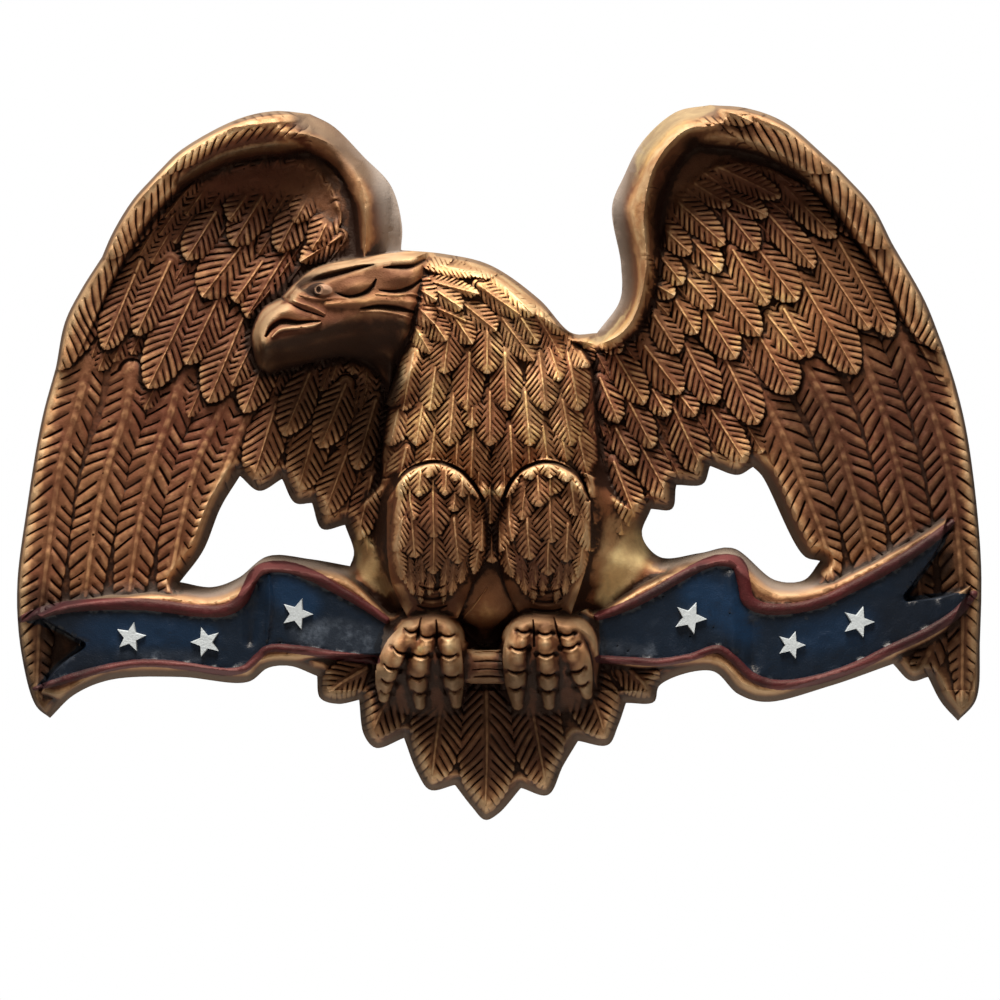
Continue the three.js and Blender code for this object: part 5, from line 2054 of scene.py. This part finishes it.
@dataclass(frozen=True)
class CastingFinish:
    """Aged bronze paint with a navy ribbon edged in red, and painted highlights and painted shade."""

    brown: Colour = paint(128, 82, 52)
    red_brown: Colour = paint(112, 62, 42)
    # Dark of the grooves and cuts: partly the antique paint's dark wash, partly painted shade.
    groove: Colour = paint(42, 20, 12)
    # Painted highlights: on ridges, on gilt ridges, and glints on the highest.
    ridge: Colour = paint(212, 156, 106)
    gold: Colour = paint(248, 218, 154)
    gilt_highlight: Colour = paint(240, 194, 122)
    glint: Colour = paint(255, 222, 170)
    copper: Colour = paint(190, 122, 74)
    # Painted light on faces that tilt up.
    tan: Colour = paint(158, 130, 98)
    wall: Colour = paint(104, 88, 72)
    grey: Colour = paint(162, 147, 134)
    # Painted shade, with some dark paint; also the eye's pupil.
    dark: Colour = paint(40, 20, 12)
    eyeball: Colour = paint(168, 128, 100)
    navy: Colour = paint(6, 25, 41)
    # Lighter blue: painted highlight on the ribbon's folds, with some worn paint.
    blue: Colour = paint(13, 53, 86)
    scuff: Colour = paint(150, 160, 172)
    red: Colour = paint(78, 22, 26)
    deep_red: Colour = paint(54, 15, 19)
    # Paler red: worn paint together with painted highlight.
    pale_red_wear_and_highlight: Colour = paint(170, 98, 92)
    shadow_navy: Colour = paint(8, 12, 20)
    groove_navy: Colour = paint(6, 10, 18)
    shadow_red: Colour = paint(22, 20, 26)

    def mix(self) -> bpy.types.Material:
        """Mixes the material.

        Returns:
            The material.
        """
        shop = PaintShop("painted_casting")
        names = ("raised", "deep", "cut", "cord", "ribbon", "wall", "bright", "pale", "dark_paint_and_shade", "upward")
        raised, deep, cut, cord, ribbon, wall, bright, pale, dark_paint_and_shade, upward = map(shop.mask, names)
        broad = shop.noise(16, 3)
        patch = shop.noise(75, 4, 0.6, 3.0)
        speck = shop.noise(420, 3, 0.6, 7.0)
        grain = shop.noise(1500, 2, 0.5, 1.0)
        # Where ridges stand up and grooves sink in, for painted highlights and painted shade.
        ridge = (raised + 0.8 * (patch - 0.5)).rise(0.1, 1.1)
        groove = (-1.0 * raised + 0.5 * (speck - 0.5)).rise(0.05, 0.78)
        open_wall = wall.rise(0.2, 0.65)
        inner = 1.0 - open_wall
        body = shop.mix(broad.rise(0.35, 0.65), self.brown, self.red_brown)
        body = shop.mix(bright * 0.4, body, self.copper)
        body = shop.mix(open_wall * (0.6 + 0.4 * broad), body, self.wall)
        matt = shop.spot((336, 300), (96, 62), 0).rise(1.0, 0.8)
        # Painted highlight on the raised ridges, over their dry-brushed paint, stronger where gold was
        # rubbed on.
        lit = ridge * (0.5 + 0.5 * patch + 0.6 * bright) * inner * (1.0 - 0.6 * matt)
        body = shop.mix(lit.held(), body, shop.mix(bright * patch.rise(0.4, 0.6), self.ridge, self.gilt_highlight))
        flat = (bright + 0.1 * (patch - 0.5)).rise(0.62, 1.02)
        body = shop.mix(flat * (0.6 + 0.4 * patch.rise(0.3, 0.7)), body, self.gold)
        # Painted glints on the highest ridges.
        peak = raised.rise(0.9, 1.8) * (0.35 + 0.65 * bright) * patch.rise(0.3, 0.6) * inner
        body = shop.mix(peak.held(), body, self.glint)
        # Grooves and cuts between barbs darkened: partly the antique paint's dark wash, partly painted
        # shade.
        body = shop.mix(groove * inner * (1.0 - 0.7 * flat), body, self.groove)
        body = shop.mix(cut.rise(0.15, 0.9) * 0.75, body, self.groove)
        # Painted shade: hollows darkened, as shade falls into them.
        body = shop.mix(deep.rise(0.3, 1.2) * 0.6 * inner * (1.0 - flat), body, self.dark)
        # Painted light: faces that tilt up made paler tan, as if lit from above.
        body = shop.mix(upward.rise(0.5, 1.0) * (0.15 + 0.4 * patch) * (1.0 - cut), body, self.tan)
        body = shop.mix(pale * (0.3 + 0.7 * wall.rise(0.02, 0.3)) * (0.7 + 0.4 * broad), body, self.grey)
        # Painted shade, with some dark paint, where those daubs lie.
        body = shop.mix(dark_paint_and_shade * (0.55 + 0.4 * dark_paint_and_shade) * (1.0 - 0.5 * open_wall), body, self.dark)
        # Round the eye: a dark oval of painted shade under the brow, then the eyeball's paint and the dark
        # pupil.
        for centre, radii, turn, colour in (
            ((316, 289), (12, 7.6), -8, self.dark), ((323.5, 289.6), (10, 5.8), 5, self.eyeball),
            (EYE, (3.0, 3.7), 0, self.dark),
        ):
            body = shop.mix(shop.spot(centre, radii, turn).rise(1.0, 0.8), body, colour)
        field = (ribbon + 0.3 * (speck - 0.5)).rise(0.4, 0.6)
        # Lighter blue where the bright daubs lie: painted highlight on the ribbon's folds, with some worn
        # paint.
        navy = shop.mix(bright * (0.4 + 0.6 * patch), self.navy, self.blue)
        navy = shop.mix(pale * (0.04 + 0.42 * (patch + 0.3 * speck).rise(0.6, 0.95)), navy, self.scuff)
        navy = shop.mix(dark_paint_and_shade * 0.6, navy, self.shadow_navy)
        # Painted shade in the ribbon's hollows.
        navy = shop.mix(groove * 0.5, navy, self.groove_navy)
        edge = (cord + 1.6 * (speck - 0.5)).rise(-0.5, 0.5)
        red = shop.mix(patch.rise(0.3, 0.7), self.red, self.deep_red)
        # Paler red on the cords' crests: worn paint together with painted highlight.
        wear_and_highlight = (raised + 1.6 * (patch - 0.5)).rise(1.0, 1.6)
        red = shop.mix(wear_and_highlight * 0.24, red, self.pale_red_wear_and_highlight)
        red = shop.mix(dark_paint_and_shade * 0.75, red, self.shadow_red)
        colour = shop.mix(edge, shop.mix(field, body, navy), red)
        gloss = field.at_most(1.0 - edge)
        rough = 0.5 + 0.18 * patch + 0.32 * pale + 0.2 * open_wall + 0.06 * flat - 0.14 * gloss + 0.16 * matt
        metal = 0.25 - 0.25 * field - 0.25 * edge - 0.25 * pale - 0.2 * open_wall - 0.2 * matt
        fixed = {
            "Roughness": rough.held(),
            "Metallic": metal.held(),
            "Coat Weight": 0.15 * gloss,
            "Coat Roughness": 0.25,
            "Specular IOR Level": 0.4,
            "Specular Tint": (1.0, 0.82, 0.62, 1.0),
        }
        return shop.finish(colour, fixed, 0.5 * speck + 0.5 * grain, 0.0004)


@dataclass(frozen=True)
class BackFinish:
    """Bare cast plaster with some overspray."""

    plaster: Colour = paint(196, 186, 168)
    spray: Colour = paint(140, 112, 84)

    def mix(self) -> bpy.types.Material:
        """Mixes the material.

        Returns:
            The material.
        """
        shop = PaintShop("bare_plaster")
        cloud = shop.noise(12, 5, 0.6)
        speck = shop.noise(500, 3, 0.6, 5.0)
        base = shop.mix(cloud.rise(0.45, 0.75) * 0.6 + 0.2 * speck, self.plaster, self.spray)
        return shop.finish(base, {"Roughness": 0.7 + 0.2 * speck}, speck + cloud, 0.0003)


@dataclass(frozen=True)
class StarFinish:
    """Off-white star paint, a little rubbed."""

    white: Colour = paint(212, 214, 210)
    shade: Colour = paint(138, 144, 150)

    def mix(self) -> bpy.types.Material:
        """Mixes the material.

        Returns:
            The material.
        """
        shop = PaintShop("star_white")
        cloud = shop.noise(160, 4, 0.6)
        speck = shop.noise(900, 3, 0.6, 5.0)
        base = shop.mix(cloud.rise(0.5, 0.8) * 0.5 + 0.15 * speck, self.white, self.shade)
        return shop.finish(base, {"Roughness": 0.4 + 0.2 * speck}, speck + 0.6 * cloud, 0.0003)


@dataclass(frozen=True)
class FloorFinish:
    """Plain pale floor."""

    pale: Colour = paint(236, 236, 234)
    shade: Colour = paint(230, 230, 228)

    def mix(self) -> bpy.types.Material:
        """Mixes the material."""
        shop = PaintShop("pale_floor")
        cloud = shop.noise(2.0, 2)
        return shop.finish(shop.mix(cloud, self.pale, self.shade), {"Roughness": 0.85}, cloud, 0.0001)


@dataclass
class Studio:
    """Floor, soft lights, surroundings and the camera.

    Attributes:
        floor_drop: how far the floor lies below the origin, in metres.
        floor_reach: half the floor's width, in metres.
        sensor: width of the camera's sensor, in millimetres.
        aim: the place that the lights face, in metres.
    """

    floor_drop: float = 0.9
    floor_reach: float = 1.4
    sensor: float = 36.0
    aim: tuple[float, float, float] = (0.0, -0.03, 0.0)

    def floor(self) -> None:
        """Lays the floor."""
        reach, z = self.floor_reach, -self.floor_drop
        mesh = bpy.data.meshes.new("floor")
        corners = [(-reach, -reach, z), (reach, -reach, z), (reach, reach, z), (-reach, reach, z)]
        mesh.from_pydata(corners, [], [(0, 1, 2, 3)])
        mesh.materials.append(FloorFinish().mix())
        new_piece("floor", mesh)

    def light(self, name: str, at: Sequence[float], size: float, power: float, mirrored: bool) -> None:
        """Hangs a soft square light that faces the plaque.

        Args:
            name: its name.
            at: its place, in metres.
            size: its width, in metres.
            power: its power, in watts.
            mirrored: whether it can be seen in glossy surfaces.
        """
        lamp = bpy.data.lights.new(name, "AREA")
        lamp.size, lamp.energy = size, power
        holder = bpy.data.objects.new(name, lamp)
        bpy.context.scene.collection.objects.link(holder)
        holder.location = at
        holder.visible_glossy = mirrored
        holder.rotation_euler = (Vector(self.aim) - Vector(at)).to_track_quat("-Z", "Y").to_euler()

    def surroundings(self) -> None:
        """Makes the bright plain surroundings, dimmer as a light than as they look."""
        world = bpy.data.worlds.new("surroundings")
        world.use_nodes = True
        world.node_tree.nodes.clear()
        add = NodeMaker(world.node_tree).node
        seen = add("ShaderNodeBackground", {}, {"Color": (1, 1, 1, 1), "Strength": 1.0})
        felt = add("ShaderNodeBackground", {}, {"Color": (1, 1, 1, 1), "Strength": 0.12})
        path = add("ShaderNodeLightPath", {}, {})
        both = add("ShaderNodeMixShader", {}, {
            0: path.outputs["Is Camera Ray"], 1: felt.outputs[0], 2: seen.outputs[0],
        })
        add("ShaderNodeOutputWorld", {}, {"Surface": both.outputs[0]})
        bpy.context.scene.world = world

    def camera(self) -> None:
        """Sets the camera at the eye that the sheet was drawn for."""
        lens = bpy.data.cameras.new("camera")
        lens.sensor_width = self.sensor
        lens.lens = self.sensor * SHEET.eye / (1000 * SHEET.unit)
        holder = bpy.data.objects.new("camera", lens)
        bpy.context.scene.collection.objects.link(holder)
        holder.location = (0, -SHEET.eye, -SHEET.drop)
        holder.rotation_euler = (math.pi / 2, 0, 0)
        bpy.context.scene.camera = holder

    def build(self) -> None:
        """Sets up the whole studio."""
        self.floor()
        self.light("key", (-0.14, -0.5, 1.25), size=0.7, power=41, mirrored=True)
        self.light("fill", (0.4, -1.8, 0.3), size=1.2, power=4, mirrored=False)
        self.surroundings()
        self.camera()
        bpy.context.scene.view_settings.view_transform = "Standard"


def main() -> None:
    """Builds the plaque and the studio and reports each piece."""
    logging.basicConfig(level=logging.INFO, format="%(message)s")
    Studio().build()
    casting = Casting(Plaque(Canvas()))
    piece = casting.build()
    for finish in (CastingFinish(), BackFinish()):
        piece.data.materials.append(finish.mix())
    stars = RibbonStars().build(casting.height_at, StarFinish().mix())
    for one, replaced in ((piece, (CASTING_NODE,)), (stars, ())):
        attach(one, BODY)
        if replaced:
            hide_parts(*replaced)
        LOG.info("%s: %d triangles", one.name, sum(len(face.vertices) - 2 for face in one.data.polygons))


if __name__ == "__main__":
    main()
